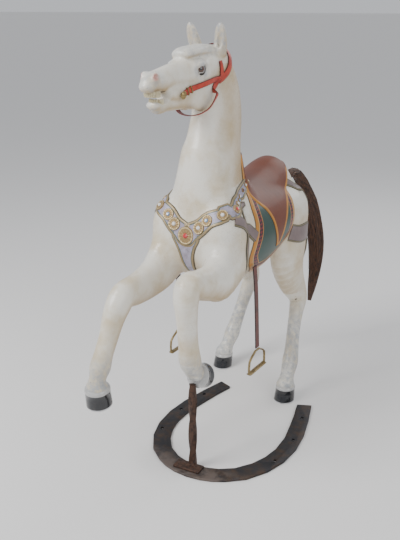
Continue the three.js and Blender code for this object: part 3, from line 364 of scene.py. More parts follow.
# ---------------------------------------------------------------- meshes from the field
def surface_net(low, high, grid):
    """One vertex in each grid cell that the surface crosses, and one quad round each crossed edge."""
    low = np.array(low, float)
    size = np.ceil((np.array(high) - low) / grid).astype(int) // 6 * 6 + 7
    blocks = [np.arange(0, n - 1, 6) for n in size]
    centres = np.stack(np.meshgrid(*blocks, indexing="ij"), -1).reshape(-1, 3)
    near = np.abs(field(low + (centres + 3) * grid)) < 3 * grid * 1.9
    value = np.full(size, 9.0)
    step7 = np.stack(np.meshgrid(*[np.arange(7)] * 3, indexing="ij"), -1).reshape(-1, 3)
    cells = (centres[near][:, None] + step7).reshape(-1, 3)
    keys = np.unique((cells[:, 0] * size[1] + cells[:, 1]) * size[2] + cells[:, 2])
    at = np.stack([keys // (size[1] * size[2]), keys // size[2] % size[1], keys % size[2]], 1)
    sampled = np.concatenate([field(low + part * grid) for part in np.array_split(at, len(at) // 40000 + 1)])
    value[at[:, 0], at[:, 1], at[:, 2]] = sampled
    inside = value < 0
    known = np.zeros(size, bool)
    known[at[:, 0], at[:, 1], at[:, 2]] = True
    corner = [(i, j, k) for i in (0, 1) for j in (0, 1) for k in (0, 1)]

    def shifted(array, offset):
        i, j, k = offset
        n = array.shape
        return array[i:n[0] - 1 + i, j:n[1] - 1 + j, k:n[2] - 1 + k]

    count = sum(shifted(inside, c).astype(int) for c in corner)
    full = np.logical_and.reduce([shifted(known, c) for c in corner])
    cell = np.argwhere((count > 0) & (count < 8) & full)
    total = np.zeros((len(cell), 3))
    hits = np.zeros(len(cell))
    for a in corner:
        for axis in range(3):
            if a[axis]:
                continue
            b = list(a)
            b[axis] = 1
            va = value[tuple((cell + a).T)]
            vb = value[tuple((cell + b).T)]
            cross = (va < 0) != (vb < 0)
            t = np.where(cross, va / np.where(va == vb, 1, va - vb), 0)
            spot = np.array(a, float) + np.eye(3)[axis] * t[:, None]
            total += spot * cross[:, None]
            hits += cross
    number = np.full([n - 1 for n in size], -1)
    number[tuple(cell.T)] = np.arange(len(cell))
    faces = []
    for axis in range(3):
        u, v = (axis + 1) % 3, (axis + 2) % 3
        ahead = np.roll(inside, -1, axis)
        edge = np.argwhere((inside != ahead))
        edge = edge[(edge[:, u] > 0) & (edge[:, v] > 0) & (edge[:, axis] < size[axis] - 1)]
        edge = edge[(edge[:, u] < size[u] - 1) & (edge[:, v] < size[v] - 1)]
        eu, ev = np.eye(3, dtype=int)[u], np.eye(3, dtype=int)[v]
        quad = np.stack([number[tuple((edge - m).T)] for m in (0 * eu, eu, eu + ev, ev)], 1)
        out = inside[tuple(edge.T)]
        quad[~out] = quad[~out][:, ::-1]
        faces.append(quad[(quad >= 0).all(1)])
    return low + (cell + total / hits[:, None]) * grid, np.vstack(faces)


def new_mesh(name, points, faces, material, uv=None, values=None):
    """An object at the origin from points in the horse frame; uv and values are per point."""
    mesh = bpy.data.meshes.new(name)
    mesh.from_pydata(place(points).tolist(), [], [tuple(int(v) for v in f) for f in faces])
    mesh.materials.append(material)
    if uv is not None:
        layer = mesh.uv_layers.new(name="UVMap")
        corner = np.empty(len(mesh.loops), int)
        mesh.loops.foreach_get("vertex_index", corner)
        layer.data.foreach_set("uv", np.asarray(uv, float)[corner].ravel())
    for key, data in (values or {}).items():
        mesh.attributes.new(key, "FLOAT", "POINT").data.foreach_set("value", np.asarray(data, float))
    mesh.validate()
    mesh.update()
    obj = bpy.data.objects.new(name, mesh)
    bpy.context.scene.collection.objects.link(obj)
    return obj


def select(*objects):
    """Deselects everything, then selects these; the first is active."""
    bpy.ops.object.select_all(action="DESELECT")
    for obj in objects:
        obj.select_set(True)
    bpy.context.view_layer.objects.active = objects[0]


def recalculate(obj):
    select(obj)
    bpy.ops.object.mode_set(mode="EDIT")
    bpy.ops.mesh.select_all(action="SELECT")
    bpy.ops.mesh.normals_make_consistent(inside=False)
    bpy.ops.object.mode_set(mode="OBJECT")


def smooth(obj, angle=40):
    select(obj)
    bpy.ops.object.shade_smooth_by_angle(angle=math.radians(angle))


def join(objects, name):
    """Joins several objects into one."""
    select(*objects)
    bpy.ops.object.join()
    objects[0].name = name
    objects[0].data.name = name
    return objects[0]


def grid_faces(rows, columns, loop_rows=False, loop_columns=False):
    """Quads over a grid of points stored row by row."""
    i = np.arange(rows if loop_rows else rows - 1)
    j = np.arange(columns if loop_columns else columns - 1)
    i, j = (m.ravel() for m in np.meshgrid(i, j, indexing="ij"))
    k, n = (i + 1) % rows, (j + 1) % columns
    return np.stack([i * columns + j, k * columns + j, k * columns + n, i * columns + n], 1)


def tube(name, rings, material, loop=False, values=None, uv=None):
    """Skin over rings of points, closed at its ends."""
    rings = np.asarray(rings, float)
    rows, columns = rings.shape[:2]
    faces = [tuple(f) for f in grid_faces(rows, columns, loop, True)]
    points = rings.reshape(-1, 3)
    if not loop:
        faces.append(tuple(range(columns)))
        faces.append(tuple(reversed(range((rows - 1) * columns, rows * columns))))
    obj = new_mesh(name, points, faces, material, uv, values)
    recalculate(obj)
    return obj


def ring(centre, axis, radii, count, turn=0.0):
    """A ring of points round centre, square to axis; radii is one radius or two."""
    axis = unit(axis)
    up = [0, 0, 1] if abs(axis[0]) > 0.9 else [1, 0, 0]
    v = unit(np.cross(axis, up))
    u = np.cross(v, axis)
    rx, ry = radii if np.ndim(radii) else (radii, radii)
    a = (np.arange(count) + turn) / count * 2 * np.pi
    return np.asarray(centre, float) + u * (rx * np.cos(a))[:, None] + v * (ry * np.sin(a))[:, None]


def across(line, marks):
    """Surface points across a strap at marks from -1 to 1 of its half width, row by row."""
    line = np.array(line, float)
    path = settle_level(line[:, :3])
    side = unit(np.cross(tangents(path), slope(path)[0]))
    marks = np.asarray(marks, float)
    points = path[:, None] + side[:, None] * (line[:, 3:4] * marks)[:, :, None]
    return settle(points.reshape(-1, 3), 5).reshape(len(line), len(marks), 3)


def mirrored(rows):
    return [(-row[0], *row[1:]) for row in rows]


def round_the_back(rows):
    return [*rows, *mirrored(rows)[:-1][::-1]]


def both_sides(rows):
    return [rows, mirrored(rows)]


def shell(name, grid, height, material, sink=5.0, values=None, uv=None):
    """A plate laid on the form: a grid of surface points raised by height, with its rim sunk in."""
    rows, columns = grid.shape[:2]
    flat = grid.reshape(-1, 3)
    normal = slope(flat, 3)[0]
    height = np.broadcast_to(height, (rows, columns)).reshape(-1, 1)
    top = flat + normal * height
    bottom = flat - normal * sink
    count = rows * columns
    faces = [tuple(f) for f in grid_faces(rows, columns)]
    faces += [tuple(int(v) + count for v in f[::-1]) for f in faces]
    rim = list(range(columns))
    rim += [i * columns + columns - 1 for i in range(1, rows)]
    rim += [(rows - 1) * columns + j for j in range(columns - 2, -1, -1)]
    rim += [i * columns for i in range(rows - 2, 0, -1)]
    for a, b in zip(rim, rim[1:] + rim[:1]):
        faces.append((b, a, a + count, b + count))
    double = {key: np.concatenate([np.ravel(v), np.ravel(v)]) for key, v in (values or {}).items()}
    both = None if uv is None else np.vstack([uv.reshape(-1, 2)] * 2)
    obj = new_mesh(name, np.vstack([top, bottom]), faces, material, both, double)
    recalculate(obj)
    return obj


# ---------------------------------------------------------------- materials
class Nodes:
    """Short ways to add nodes to a node tree."""

    def __init__(self, tree):
        self.tree = tree

    def node(self, kind, inputs=(), **settings):
        node = self.tree.nodes.new("ShaderNode" + kind)
        for key, value in settings.items():
            setattr(node, key, value)
        for key, value in dict(inputs).items():
            if isinstance(value, bpy.types.NodeSocket):
                self.tree.links.new(value, node.inputs[key])
            else:
                node.inputs[key].default_value = value
        return node

    def math(self, operation, a, b=0.0, clamp=False):
        """Result of one Math node."""
        return self.node("Math", {0: a, 1: b}, operation=operation, use_clamp=clamp).outputs[0]

    def ramp(self, value, low, high):
        """Smooth step from 0 at low to 1 at high."""
        node = self.node("MapRange", {0: value, 1: low, 2: high}, interpolation_type="SMOOTHSTEP")
        return node.outputs[0]

    def band(self, value, low, high, soft=0.4):
        """1 between low and high, with a thin soft edge."""
        rise = self.ramp(value, low - soft, low + soft)
        return self.math("MULTIPLY", rise, self.ramp(value, high + soft, high - soft))

    def mix(self, amount, a, b):
        a, b = ((*c, 1.0) if isinstance(c, tuple) and len(c) == 3 else c for c in (a, b))
        node = self.node("Mix", {0: amount, 6: a, 7: b}, data_type="RGBA")
        return node.outputs[2]

    def attribute(self, name):
        return self.node("Attribute", attribute_name=name).outputs["Fac"]

    def where(self):
        return self.node("TexCoord").outputs["Object"]

    def noise(self, scale, detail=4.0, rough=0.6, at=None):
        values = {"Vector": at or self.where(), "Scale": scale, "Detail": detail, "Roughness": rough}
        return self.node("TexNoise", values).outputs[0]

    def group(self, tree, **inputs):
        """Output of a shared node group with these inputs."""
        node = self.node("Group", node_tree=tree)
        for key, value in inputs.items():
            socket = node.inputs[key.capitalize()]
            if isinstance(value, bpy.types.NodeSocket):
                self.tree.links.new(value, socket)
            else:
                socket.default_value = (*value, 1.0) if isinstance(value, tuple) else value
        return node.outputs[0]


def node_group(name, inputs, output, fill):
    """A shader node group, built once; fill makes its nodes and returns the result."""
    tree = bpy.data.node_groups.get(name)
    if tree is None:
        tree = bpy.data.node_groups.new(name, "ShaderNodeTree")
        for key, kind in inputs.items():
            tree.interface.new_socket(key, in_out="INPUT", socket_type="NodeSocket" + kind)
        tree.interface.new_socket(output[0], in_out="OUTPUT", socket_type="NodeSocket" + output[1])
        start = tree.nodes.new("NodeGroupInput").outputs
        end = tree.nodes.new("NodeGroupOutput").inputs
        tree.links.new(fill(Nodes(tree), start), end[0])
    return tree


def mottle_group():
    """Soft patches, 0 below Low and 1 above High."""
    def fill(n, start):
        patches = n.noise(start["Scale"], at=start["Vector"])
        return n.ramp(patches, start["Low"], start["High"])
    inputs = {"Vector": "Vector", "Scale": "Float", "Low": "Float", "High": "Float"}
    return node_group("Mottle", inputs, ("Mask", "Float"), fill)


def painted_edge_group():
    """Paint over Base, from where Distance passes Start to End."""
    def fill(n, start):
        return n.mix(n.ramp(start["Distance"], start["Start"], start["End"]), start["Base"], start["Paint"])
    inputs = {"Distance": "Float", "Start": "Float", "End": "Float", "Base": "Color", "Paint": "Color"}
    return node_group("Painted edge", inputs, ("Colour", "Color"), fill)


def glitter_group():
    """Small random grains, 0 at the middle of each."""
    def fill(n, start):
        return n.node("TexVoronoi", {"Vector": start["Vector"], "Scale": start["Scale"]}).outputs[0]
    return node_group("Glitter", {"Vector": "Vector", "Scale": "Float"}, ("Mask", "Float"), fill)


class Shader(Nodes):
    """A material with one Principled shader."""

    def __init__(self, name, colour, rough=0.5, metal=0.0, coat=0.0):
        self.material = bpy.data.materials.new(name)
        self.material.use_nodes = True
        self.material.diffuse_color = (*colour, 1.0)
        super().__init__(self.material.node_tree)
        self.main = self.tree.nodes["Principled BSDF"]
        self.put("Base Color", (*colour, 1.0))
        self.put("Roughness", rough)
        self.put("Metallic", metal)
        self.put("Coat Weight", coat)

    def put(self, socket, value):
        if isinstance(value, bpy.types.NodeSocket):
            self.tree.links.new(value, self.main.inputs[socket])
        else:
            self.main.inputs[socket].default_value = value

    def mottle(self, scale, low, high):
        return self.group(mottle_group(), vector=self.where(), scale=scale, low=low, high=high)

    def painted_edge(self, distance, start, end, base, paint):
        inputs = {"distance": distance, "start": start, "end": end, "base": base, "paint": paint}
        return self.group(painted_edge_group(), **inputs)

    def glitter(self, scale):
        return self.group(glitter_group(), vector=self.where(), scale=scale)

    def cracks(self, scale, width):
        """Thin lines between cells, 1 on the line."""
        waver = self.node("TexNoise", {"Vector": self.where(), "Scale": 30.0}).outputs[1]
        bent = self.node("VectorMath", {0: self.where(), 1: waver})
        inputs = {"Vector": bent.outputs[0], "Scale": scale}
        cell = self.node("TexVoronoi", inputs, feature="DISTANCE_TO_EDGE")
        return self.ramp(cell.outputs["Distance"], width, 0.0)

    def bump(self, height, strength=0.3, distance=0.001):
        node = self.node("Bump", {"Height": height, "Strength": strength, "Distance": distance})
        self.put("Normal", node.outputs[0])


def worn(name, colour, dark, rough=0.5, metal=0.0, coat=0.0, scale=60.0, amount=0.6):
    """A material with mottled wear between two colours and a fine uneven surface."""
    s = Shader(name, colour, rough, metal, coat)
    wear = s.mottle(scale, 0.42, 0.68)
    s.put("Base Color", s.mix(s.math("MULTIPLY", wear, amount), colour, dark))
    s.put("Roughness", s.math("ADD", s.math("MULTIPLY", wear, 0.2), rough - 0.05))
    s.bump(s.noise(scale * 5), 0.25)
    return s.material


def body_paint(ivory):
    s = Shader("Ivory paint", ivory, 0.36, coat=0.25)
    patch = s.noise(7.0, 5.0)
    fine = s.noise(120.0)
    colour = s.mix(s.ramp(patch, 0.38, 0.72), ivory, (0.66, 0.57, 0.40))
    drift = s.math("MULTIPLY", s.math("SUBTRACT", patch, 0.48), 0.9)
    # Tan painted shade from the zones, made uneven by the patches; it also stands for yellowed varnish.
    shade_and_yellowing = s.math("ADD", s.attribute("shade_and_yellowing"), drift, clamp=True)
    colour = s.mix(shade_and_yellowing, colour, (0.47, 0.32, 0.14))
    cool = s.math("MULTIPLY", s.attribute("cool"), s.mottle(55.0, 0.25, 0.7))
    colour = s.mix(cool, colour, (0.36, 0.39, 0.43))
    colour = s.mix(s.attribute("pink"), colour, (0.62, 0.27, 0.22))
    colour = s.mix(s.attribute("dark"), colour, (0.012, 0.008, 0.008))
    speckled = s.math("ADD", s.math("MULTIPLY", s.attribute("cool"), 0.6), 0.12)
    speck = s.math("MULTIPLY", s.ramp(fine, 0.62, 0.75), speckled)
    colour = s.mix(speck, colour, (0.16, 0.13, 0.10))
    crack = s.math("MULTIPLY", s.cracks(13.0, 0.013), s.mottle(4.0, 0.42, 0.6))
    colour = s.mix(s.math("MULTIPLY", crack, 0.75), colour, (0.13, 0.10, 0.08))
    s.put("Base Color", colour)
    s.put("Roughness", s.math("ADD", s.math("MULTIPLY", fine, 0.25), 0.25))
    s.bump(s.math("SUBTRACT", s.math("MULTIPLY", s.noise(45.0), 0.5), crack), 0.35, 0.0008)
    return s.material


ORANGE = (0.62, 0.27, 0.03)
DARK_ORANGE = (0.36, 0.14, 0.02)
GOLD = (0.42, 0.29, 0.12)
PEWTER = (0.23, 0.20, 0.15)


def collar_paint(lavender):
    s = Shader("Collar paint", lavender, 0.42, coat=0.1)
    edge = s.attribute("edge")
    field_colour = s.mix(s.mottle(40.0, 0.35, 0.7), lavender, (0.30, 0.27, 0.33))
    colour = s.painted_edge(edge, 12.6, 12.0, field_colour, (0.02, 0.09, 0.07))
    colour = s.painted_edge(edge, 10.2, 9.8, colour, s.mix(s.noise(60.0), GOLD, PEWTER))
    colour = s.painted_edge(edge, 2.6, 2.0, colour, (0.10, 0.09, 0.06))
    s.put("Base Color", s.mix(s.math("MULTIPLY", s.mottle(90.0, 0.55, 0.7), 0.4), colour, (0.08, 0.06, 0.05)))
    s.put("Metallic", s.math("MULTIPLY", s.ramp(edge, 10.2, 9.8), 0.35))
    s.bump(s.noise(160.0), 0.25)
    return s.material


def strap_paint():
    s = Shader("Harness paint", (0.20, 0.15, 0.14), 0.45, coat=0.1)
    edge = s.attribute("edge")
    colour = s.mix(s.noise(25.0), (0.27, 0.20, 0.19), (0.13, 0.10, 0.10))
    colour = s.painted_edge(edge, 7.6, 7.0, colour, (0.05, 0.055, 0.035))
    colour = s.painted_edge(edge, 5.6, 5.2, colour, (0.19, 0.155, 0.085))
    colour = s.painted_edge(edge, 1.8, 1.2, colour, (0.045, 0.04, 0.03))
    s.put("Base Color", colour)
    s.bump(s.noise(140.0), 0.3)
    return s.material


def blanket_paint():
    s = Shader("Blanket paint", (0.02, 0.06, 0.05), 0.4, coat=0.2)
    edge = s.attribute("edge")
    uv = s.node("UVMap").outputs[0]
    turned = s.node("Mapping", {"Vector": uv, "Rotation": (0, 0, math.radians(45)), "Scale": (0.11, 0.11, 1)})
    checks = s.node("TexChecker", {"Vector": turned.outputs[0], "Scale": 1.0}).outputs[1]
    glitter = s.glitter(500.0)
    red = s.mix(s.ramp(glitter, 0.1, 0.5), (0.34, 0.02, 0.03), (0.16, 0.01, 0.02))
    green = s.mix(s.noise(50.0), (0.012, 0.055, 0.045), (0.025, 0.05, 0.035))
    colour = s.painted_edge(edge, 45.5, 44.5, green, (0.50, 0.22, 0.03))
    colour = s.painted_edge(edge, 42.0, 41.4, colour, s.mix(checks, red, (0.015, 0.008, 0.008)))
    colour = s.mix(s.band(edge, 18.0, 20.5), colour, (0.62, 0.46, 0.20))
    colour = s.painted_edge(edge, 18.2, 17.8, colour, s.mix(s.noise(30.0), ORANGE, DARK_ORANGE))
    colour = s.painted_edge(edge, 2.4, 1.8, colour, (0.10, 0.06, 0.02))
    s.put("Base Color", colour)
    s.bump(s.math("MULTIPLY", glitter, s.band(edge, 20.0, 42.0)), 0.3)
    return s.material


def saddle_paint(brown):
    s = Shader("Saddle paint", brown, 0.5, coat=0.08)
    edge = s.attribute("edge")
    colour = s.mix(s.noise(9.0), brown, (0.10, 0.024, 0.010))
    colour = s.mix(s.math("MULTIPLY", s.mottle(70.0, 0.55, 0.75), 0.35), colour, (0.07, 0.025, 0.015))
    border = s.mix(s.noise(30.0), ORANGE, DARK_ORANGE)
    colour = s.mix(s.math("MULTIPLY", s.ramp(edge, 13.4, 12.6), s.attribute("trim")), colour, border)
    s.put("Base Color", s.painted_edge(edge, 1.9, 1.4, colour, (0.10, 0.04, 0.02)))
    s.bump(s.noise(90.0), 0.2)
    return s.material


def rosette_paint():
    s = Shader("Rosette paint", GOLD, 0.4, 0.45)
    edge = s.attribute("edge")
    petals = s.math("SINE", s.math("MULTIPLY", s.attribute("round"), 12.0))
    glitter = s.glitter(700.0)
    colour = s.mix(s.ramp(glitter, 0.05, 0.5), (0.60, 0.44, 0.20), (0.30, 0.20, 0.09))
    colour = s.mix(s.math("MULTIPLY", s.ramp(petals, 0.3, 0.9), 0.35), colour, (0.30, 0.17, 0.07))
    s.put("Base Color", s.mix(s.band(edge, 0.8, 0.92, 0.02), colour, (0.62, 0.50, 0.28)))
    s.bump(s.math("ADD", glitter, petals), 0.4)
    return s.material


def hoof_paint():
    s = Shader("Hoof paint", (0.01, 0.011, 0.014), 0.22, coat=0.5)
    along = s.attribute("edge")
    scuff = s.mottle(60.0, 0.55, 0.8)
    colour = s.mix(s.math("MULTIPLY", scuff, 0.35), (0.010, 0.011, 0.014), (0.10, 0.08, 0.07))
    rim = s.math("MULTIPLY", s.ramp(along, 0.90, 0.94), s.mottle(35.0, 0.25, 0.45))
    colour = s.mix(rim, colour, (0.55, 0.55, 0.56))
    white = s.mix(s.noise(70.0), (0.62, 0.61, 0.58), (0.30, 0.30, 0.31))
    s.put("Base Color", s.painted_edge(along, 0.20, 0.17, colour, white))
    s.bump(s.noise(80.0), 0.3)
    return s.material


def strap_leather(name, colour, dark):
    """Mottled leather with darker edges and a stitched line."""
    s = Shader(name, colour, 0.45, coat=0.15)
    edge = s.attribute("edge")
    mottled = s.mix(s.mottle(35.0, 0.4, 0.75), colour, dark)
    s.put("Base Color", s.painted_edge(edge, 2.2, 0.8, mottled, tuple(c * 0.45 for c in dark)))
    s.bump(s.math("SUBTRACT", s.noise(220.0), s.band(edge, 2.2, 3.0, 0.3)), 0.35)
    return s.material


def hair():
    s = Shader("Horsehair", (0.06, 0.03, 0.02), 0.5)
    at = s.node("Mapping", {"Vector": s.node("UVMap").outputs[0], "Scale": (1.0, 0.02, 1.0)}).outputs[0]
    lines = s.noise(220.0, 3.0, 0.6, at)
    s.put("Base Color", s.mix(s.ramp(lines, 0.35, 0.7), (0.018, 0.010, 0.008), (0.16, 0.07, 0.035)))
    s.bump(lines, 0.7, 0.003)
    return s.material


def glass(name, colour):
    s = Shader(name, colour, 0.04, coat=1.0)
    s.put("Base Color", s.mix(s.noise(300.0), colour, tuple(min(1.0, c * 1.6 + 0.03) for c in colour)))
    return s.material


def eye_glass():
    s = Shader("Eye glass", (0.05, 0.02, 0.012), 0.05, coat=1.0)
    turn = s.attribute("turn")
    iris = s.mix(s.noise(260.0), (0.13, 0.05, 0.025), (0.05, 0.02, 0.01))
    colour = s.painted_edge(turn, 34.0, 37.0, iris, (0.25, 0.22, 0.22))
    colour = s.painted_edge(turn, 17.0, 14.0, colour, (0.002, 0.002, 0.002))
    s.put("Base Color", s.painted_edge(turn, 46.0, 50.0, colour, (0.01, 0.008, 0.008)))
    return s.material


# ---------------------------------------------------------------- carved horse
# Straps: x, y, z, half width.
COLLAR = [
    (0, 158, 778, 43), (24, 160, 793, 37), (50, 164, 811, 33), (80, 184, 838, 32), (110, 205, 858, 30),
    (120, 247, 867, 29), (130, 270, 880, 28), (130, 297, 885, 28), (130, 325, 893, 27), (120, 364, 904, 25),
    (100, 401, 912, 22), (70, 440, 921, 20), (36, 462, 929, 18), (0, 470, 932, 18),
]
TONGUE = [(0, 155, 786, 60), (0, 152, 764, 54), (0, 150, 742, 42), (0, 150, 715, 32), (0, 150, 680, 26),
          (0, 150, 638, 21)]
BREAST_STRAP = [(150, 215, 842, 23), (160, 256, 822, 23), (166, 300, 790, 23), (168, 345, 752, 23)]
GIRTH = [(160, 340, 870, 14), (160, 310, 830, 14), (160, 285, 770, 14), (150, 277, 680, 14),
         (110, 290, 600, 14), (60, 298, 566, 14), (0, 302, 556, 14)]
BREECHING = [(165, 640, 690, 34), (165, 700, 672, 35), (160, 754, 667, 36), (150, 820, 660, 36),
             (120, 868, 655, 36), (60, 890, 652, 36), (0, 850, 650, 36)]
CROUP_STRAP = [(60, 712, 868, 17), (92, 748, 850, 17), (112, 784, 822, 17), (126, 823, 778, 17),
               (124, 862, 720, 17)]
HAUNCH_STRAP = [(150, 796, 626, 21), (146, 792, 580, 18), (140, 790, 522, 15)]
# Cloths: degrees from the top of the back, front edge y, rear edge y.
BLANKET = [(0, 400, 735), (30, 395, 712), (55, 368, 690), (75, 352, 670), (95, 322, 652), (110, 311, 630),
           (122, 325, 585), (130, 348, 530), (137, 368, 440)]
SADDLE = [(0, 418, 776), (18, 412, 774), (34, 400, 735), (48, 418, 690), (62, 446, 640), (76, 461, 596),
          (90, 470, 560), (102, 480, 532), (111, 488, 512)]
# Collar rosettes of the middle and the left side: x, y, z, radius.
ROSETTES = [(0, 158, 778, 31), (50, 164, 811, 22), (80, 184, 838, 20), (110, 205, 858, 19),
            (120, 247, 867, 16), (130, 270, 880, 9), (130, 297, 885, 8), (130, 325, 893, 8),
            (120, 364, 904, 8), (100, 401, 912, 8), (80, 434, 919, 8)]


# How far each carving stands above the body, and the depth of the collar's field below its borders.
BLANKET_LIFT, SADDLE_LIFT, COLLAR_LIFT, TONGUE_LIFT, FIELD_DEPTH = 4.0, 7.0, 5.6, 5.3, 1.2
STRAP_LIFT, GIRTH_LIFT, CROUP_LIFT, HAUNCH_LIFT = 4.6, 5.1, 3.9, 5.5
BACK_AXIS = 745.0
TRIM_TOP = 912.0


def strap(name, line, lift, material, columns=9, border=0.0):
    """A carved strap with rounded edges; edge holds the distance from its nearer edge in millimetres."""
    rows = refine(line, 6)
    marks = np.linspace(-1, 1, columns)
    grid = across(rows, marks)
    edge = rows[:, 3:4] * (1 - np.abs(marks))
    height = lift * step(-1.5, 2.5, edge) - border * step(9.5, 11.5, edge)
    return shell(name, grid, height, material, values={"edge": edge})


def strap_pair(name, line, lift, material):
    return [strap(f"{name}_{i}", side, lift, material) for i, side in enumerate(both_sides(line))]


def cloth(name, edges, lift, material):
    """Cloth carved over the back; edge holds the distance from its outline in millimetres."""
    left = refine(edges, 8)
    both = np.vstack([left[:0:-1] * [-1, 1, 1], left])
    columns = 46
    share = np.linspace(0, 1, columns)
    a = np.radians(both[:, 0])[:, None] * np.ones(columns)
    y = mix(both[:, 1:2], both[:, 2:3], share)
    out = np.stack([np.sin(a), 0 * a, np.cos(a)], -1)
    start = out * 280 + np.stack([0 * y, y, BACK_AXIS + 0 * y], -1)
    grid = shoot(start.reshape(-1, 3), -out.reshape(-1, 3)).reshape(*y.shape, 3)
    outline = np.vstack([grid[:, 0], grid[:, -1], grid[0], grid[-1]])
    flat = grid.reshape(-1, 3)
    edge = np.min([np.linalg.norm(flat - p, axis=1) for p in outline], 0).reshape(y.shape)
    rim = np.minimum(np.arange(columns), np.arange(columns)[::-1])[None, :]
    ends = np.minimum(np.arange(len(y)), np.arange(len(y))[::-1])[:, None]
    edge = np.where((rim == 0) | (ends == 0), 0, edge)
    height = lift * step(-2, 3, edge)
    trim = (flat[:, 2].reshape(y.shape) < TRIM_TOP).astype(float)
    uv = np.stack([a * 170, y], -1)
    return shell(name, grid, height, material, values={"edge": edge, "trim": trim}, uv=uv)


def disc(name, spot, radius, material):
    """A raised rosette with a rounded rim and a hollow for its jewel."""
    point = settle_level(np.array([spot], float))
    axis = slope(point, 12)[0][0]
    shape = [(-4, 1.0), (6.4, 1.0), (7.6, 0.97), (8.0, 0.92), (7.4, 0.84), (7.9, 0.6), (8.0, 0.35),
             (8.0, 0.05)]
    rings = [ring(point[0] + axis * h, axis, radius * r, 32) for h, r in shape]
    edge = np.repeat([r for _, r in shape], 32)
    turn = np.tile(np.arange(32) / 32 * 2 * np.pi, len(shape))
    return tube(name, rings, material, values={"edge": edge, "round": turn})


def hoof(name, pastern, coronet, sole, axis, radii, material):
    """A hoof from the pastern to the sole; edge runs from 0 at the coronet to 1 at the sole."""
    axis = unit(axis)
    inner, top, flare, low = (np.ones(2) * r for r in radii)
    coronet, sole, pastern = (np.array(v, float) for v in (coronet, sole, pastern))
    shape = [(0.0, inner, pastern), (0.02, top - 3, coronet), (0.08, top + 1.5, mix(coronet, sole, 0.05)),
             (0.15, flare, mix(coronet, sole, 0.12)), (0.19, flare, mix(coronet, sole, 0.19)),
             (0.21, flare - 0.8, mix(coronet, sole, 0.21)),
             (0.5, mix(flare, low, 0.5) - 0.8, mix(coronet, sole, 0.5)),
             (0.9, low - 0.5, mix(coronet, sole, 0.9)),
             (0.97, low - 0.3, mix(coronet, sole, 0.97)), (1.0, low - 2, sole)]
    rings = [ring(c, axis, r, 40) for _, r, c in shape]
    return tube(name, rings, material, values={"edge": np.repeat([t for t, _, _ in shape], 40)})


def teeth(name, front, low, high, half, count, material):
    """A row of rounded teeth along the curve of the lips."""
    rows = []
    for k in range(count * 8 + 1):
        t = k / (count * 4) - 1
        bulge = abs(math.sin(k / 8 * math.pi)) ** 0.5
        y = front + 16 * t * t + 2.4 * (1 - bulge)
        drop = 1.6 * (1 - bulge)
        section = [(1.5, low + drop), (9, low + drop), (9, high - drop), (0.6, high - drop),
                   (0, mix(low, high, 0.5))]
        rows.append([(half * t, y + back, z) for back, z in section])
    return tube(name, rows, material)


HIND_HOOF = (26, 36, (38.5, 40), (41, 43))
# Hooves: pastern, coronet, sole, way down, and the inner, top, flare and bottom radii.
HOOVES = [
    ((184, 606, 74), (185, 604, 62), (186, 590, 0), (0, 0, -1), HIND_HOOF),
    ((-177, 734, 74), (-177, 731, 62), (-176, 715, 0), (0, 0, -1), HIND_HOOF),
    ((126, 20, 350), (126, 24, 346), (126, 66, 329), (0, 0.93, -0.37), (27, 40, 42, 43)),
    ((-117.6, -202, 352), (-118, -200, 338), (-120, -190, 268), (-0.03, 0.14, -0.99), (27, 40, 43, 44)),
]
# Chisel lines: three points each.
CREASES = [
    [(172, 210, 720), (166, 180, 708), (160, 150, 700)], [(166, 200, 676), (158, 160, 664), (150, 118, 654)],
    [(168, 190, 620), (150, 130, 606), (146, 84, 602)], [(160, 190, 602), (140, 140, 588), (138, 96, 590)],
    [(86, 200, 1040), (92, 262, 950), (104, 300, 880)], [(76, 250, 1150), (84, 320, 1040), (96, 360, 960)],
    [(-110, 40, 640), (-120, 90, 650), (-126, 150, 670)], [(-100, 0, 572), (-108, 50, 570), (-112, 110, 590)],
    [(74, 300, 1230), (80, 250, 1180), (62, 214, 1150)],
]


def carve_creases(points, normals):
    """Shallow chisel lines of the muscles, hair and skin folds."""
    depth = np.zeros(len(points))
    for line in CREASES:
        path = refine([(*p, 0, 0) for p in line], 8)[:, :3]
        near = np.min([np.linalg.norm(points - p, axis=1) for p in path], 0)
        broad = 9.0 if line[0][2] > 1000 else 5.0
        depth += (1.4 if broad > 6 else 1.8) * np.exp(-(near / broad) ** 2)
    lock = (points[:, 2] > 1350) & (points[:, 1] < 292) & (np.abs(points[:, 0]) < 50)
    wave = np.sin(points[:, 0] * 1.1 + 2.2 * np.sin(points[:, 1] / 26.0))
    depth += np.where(lock, 0.7 * (1 + wave), 0)
    mane = (points[:, 0] < -52) & (points[:, 1] > 270) & (points[:, 2] > 930) & (points[:, 2] < 1320)
    depth += np.where(mane, 0.6 * (1 + np.sin(points[:, 1] * 0.9 + points[:, 2] * 0.25)), 0)
    return points - normals * depth[:, None]


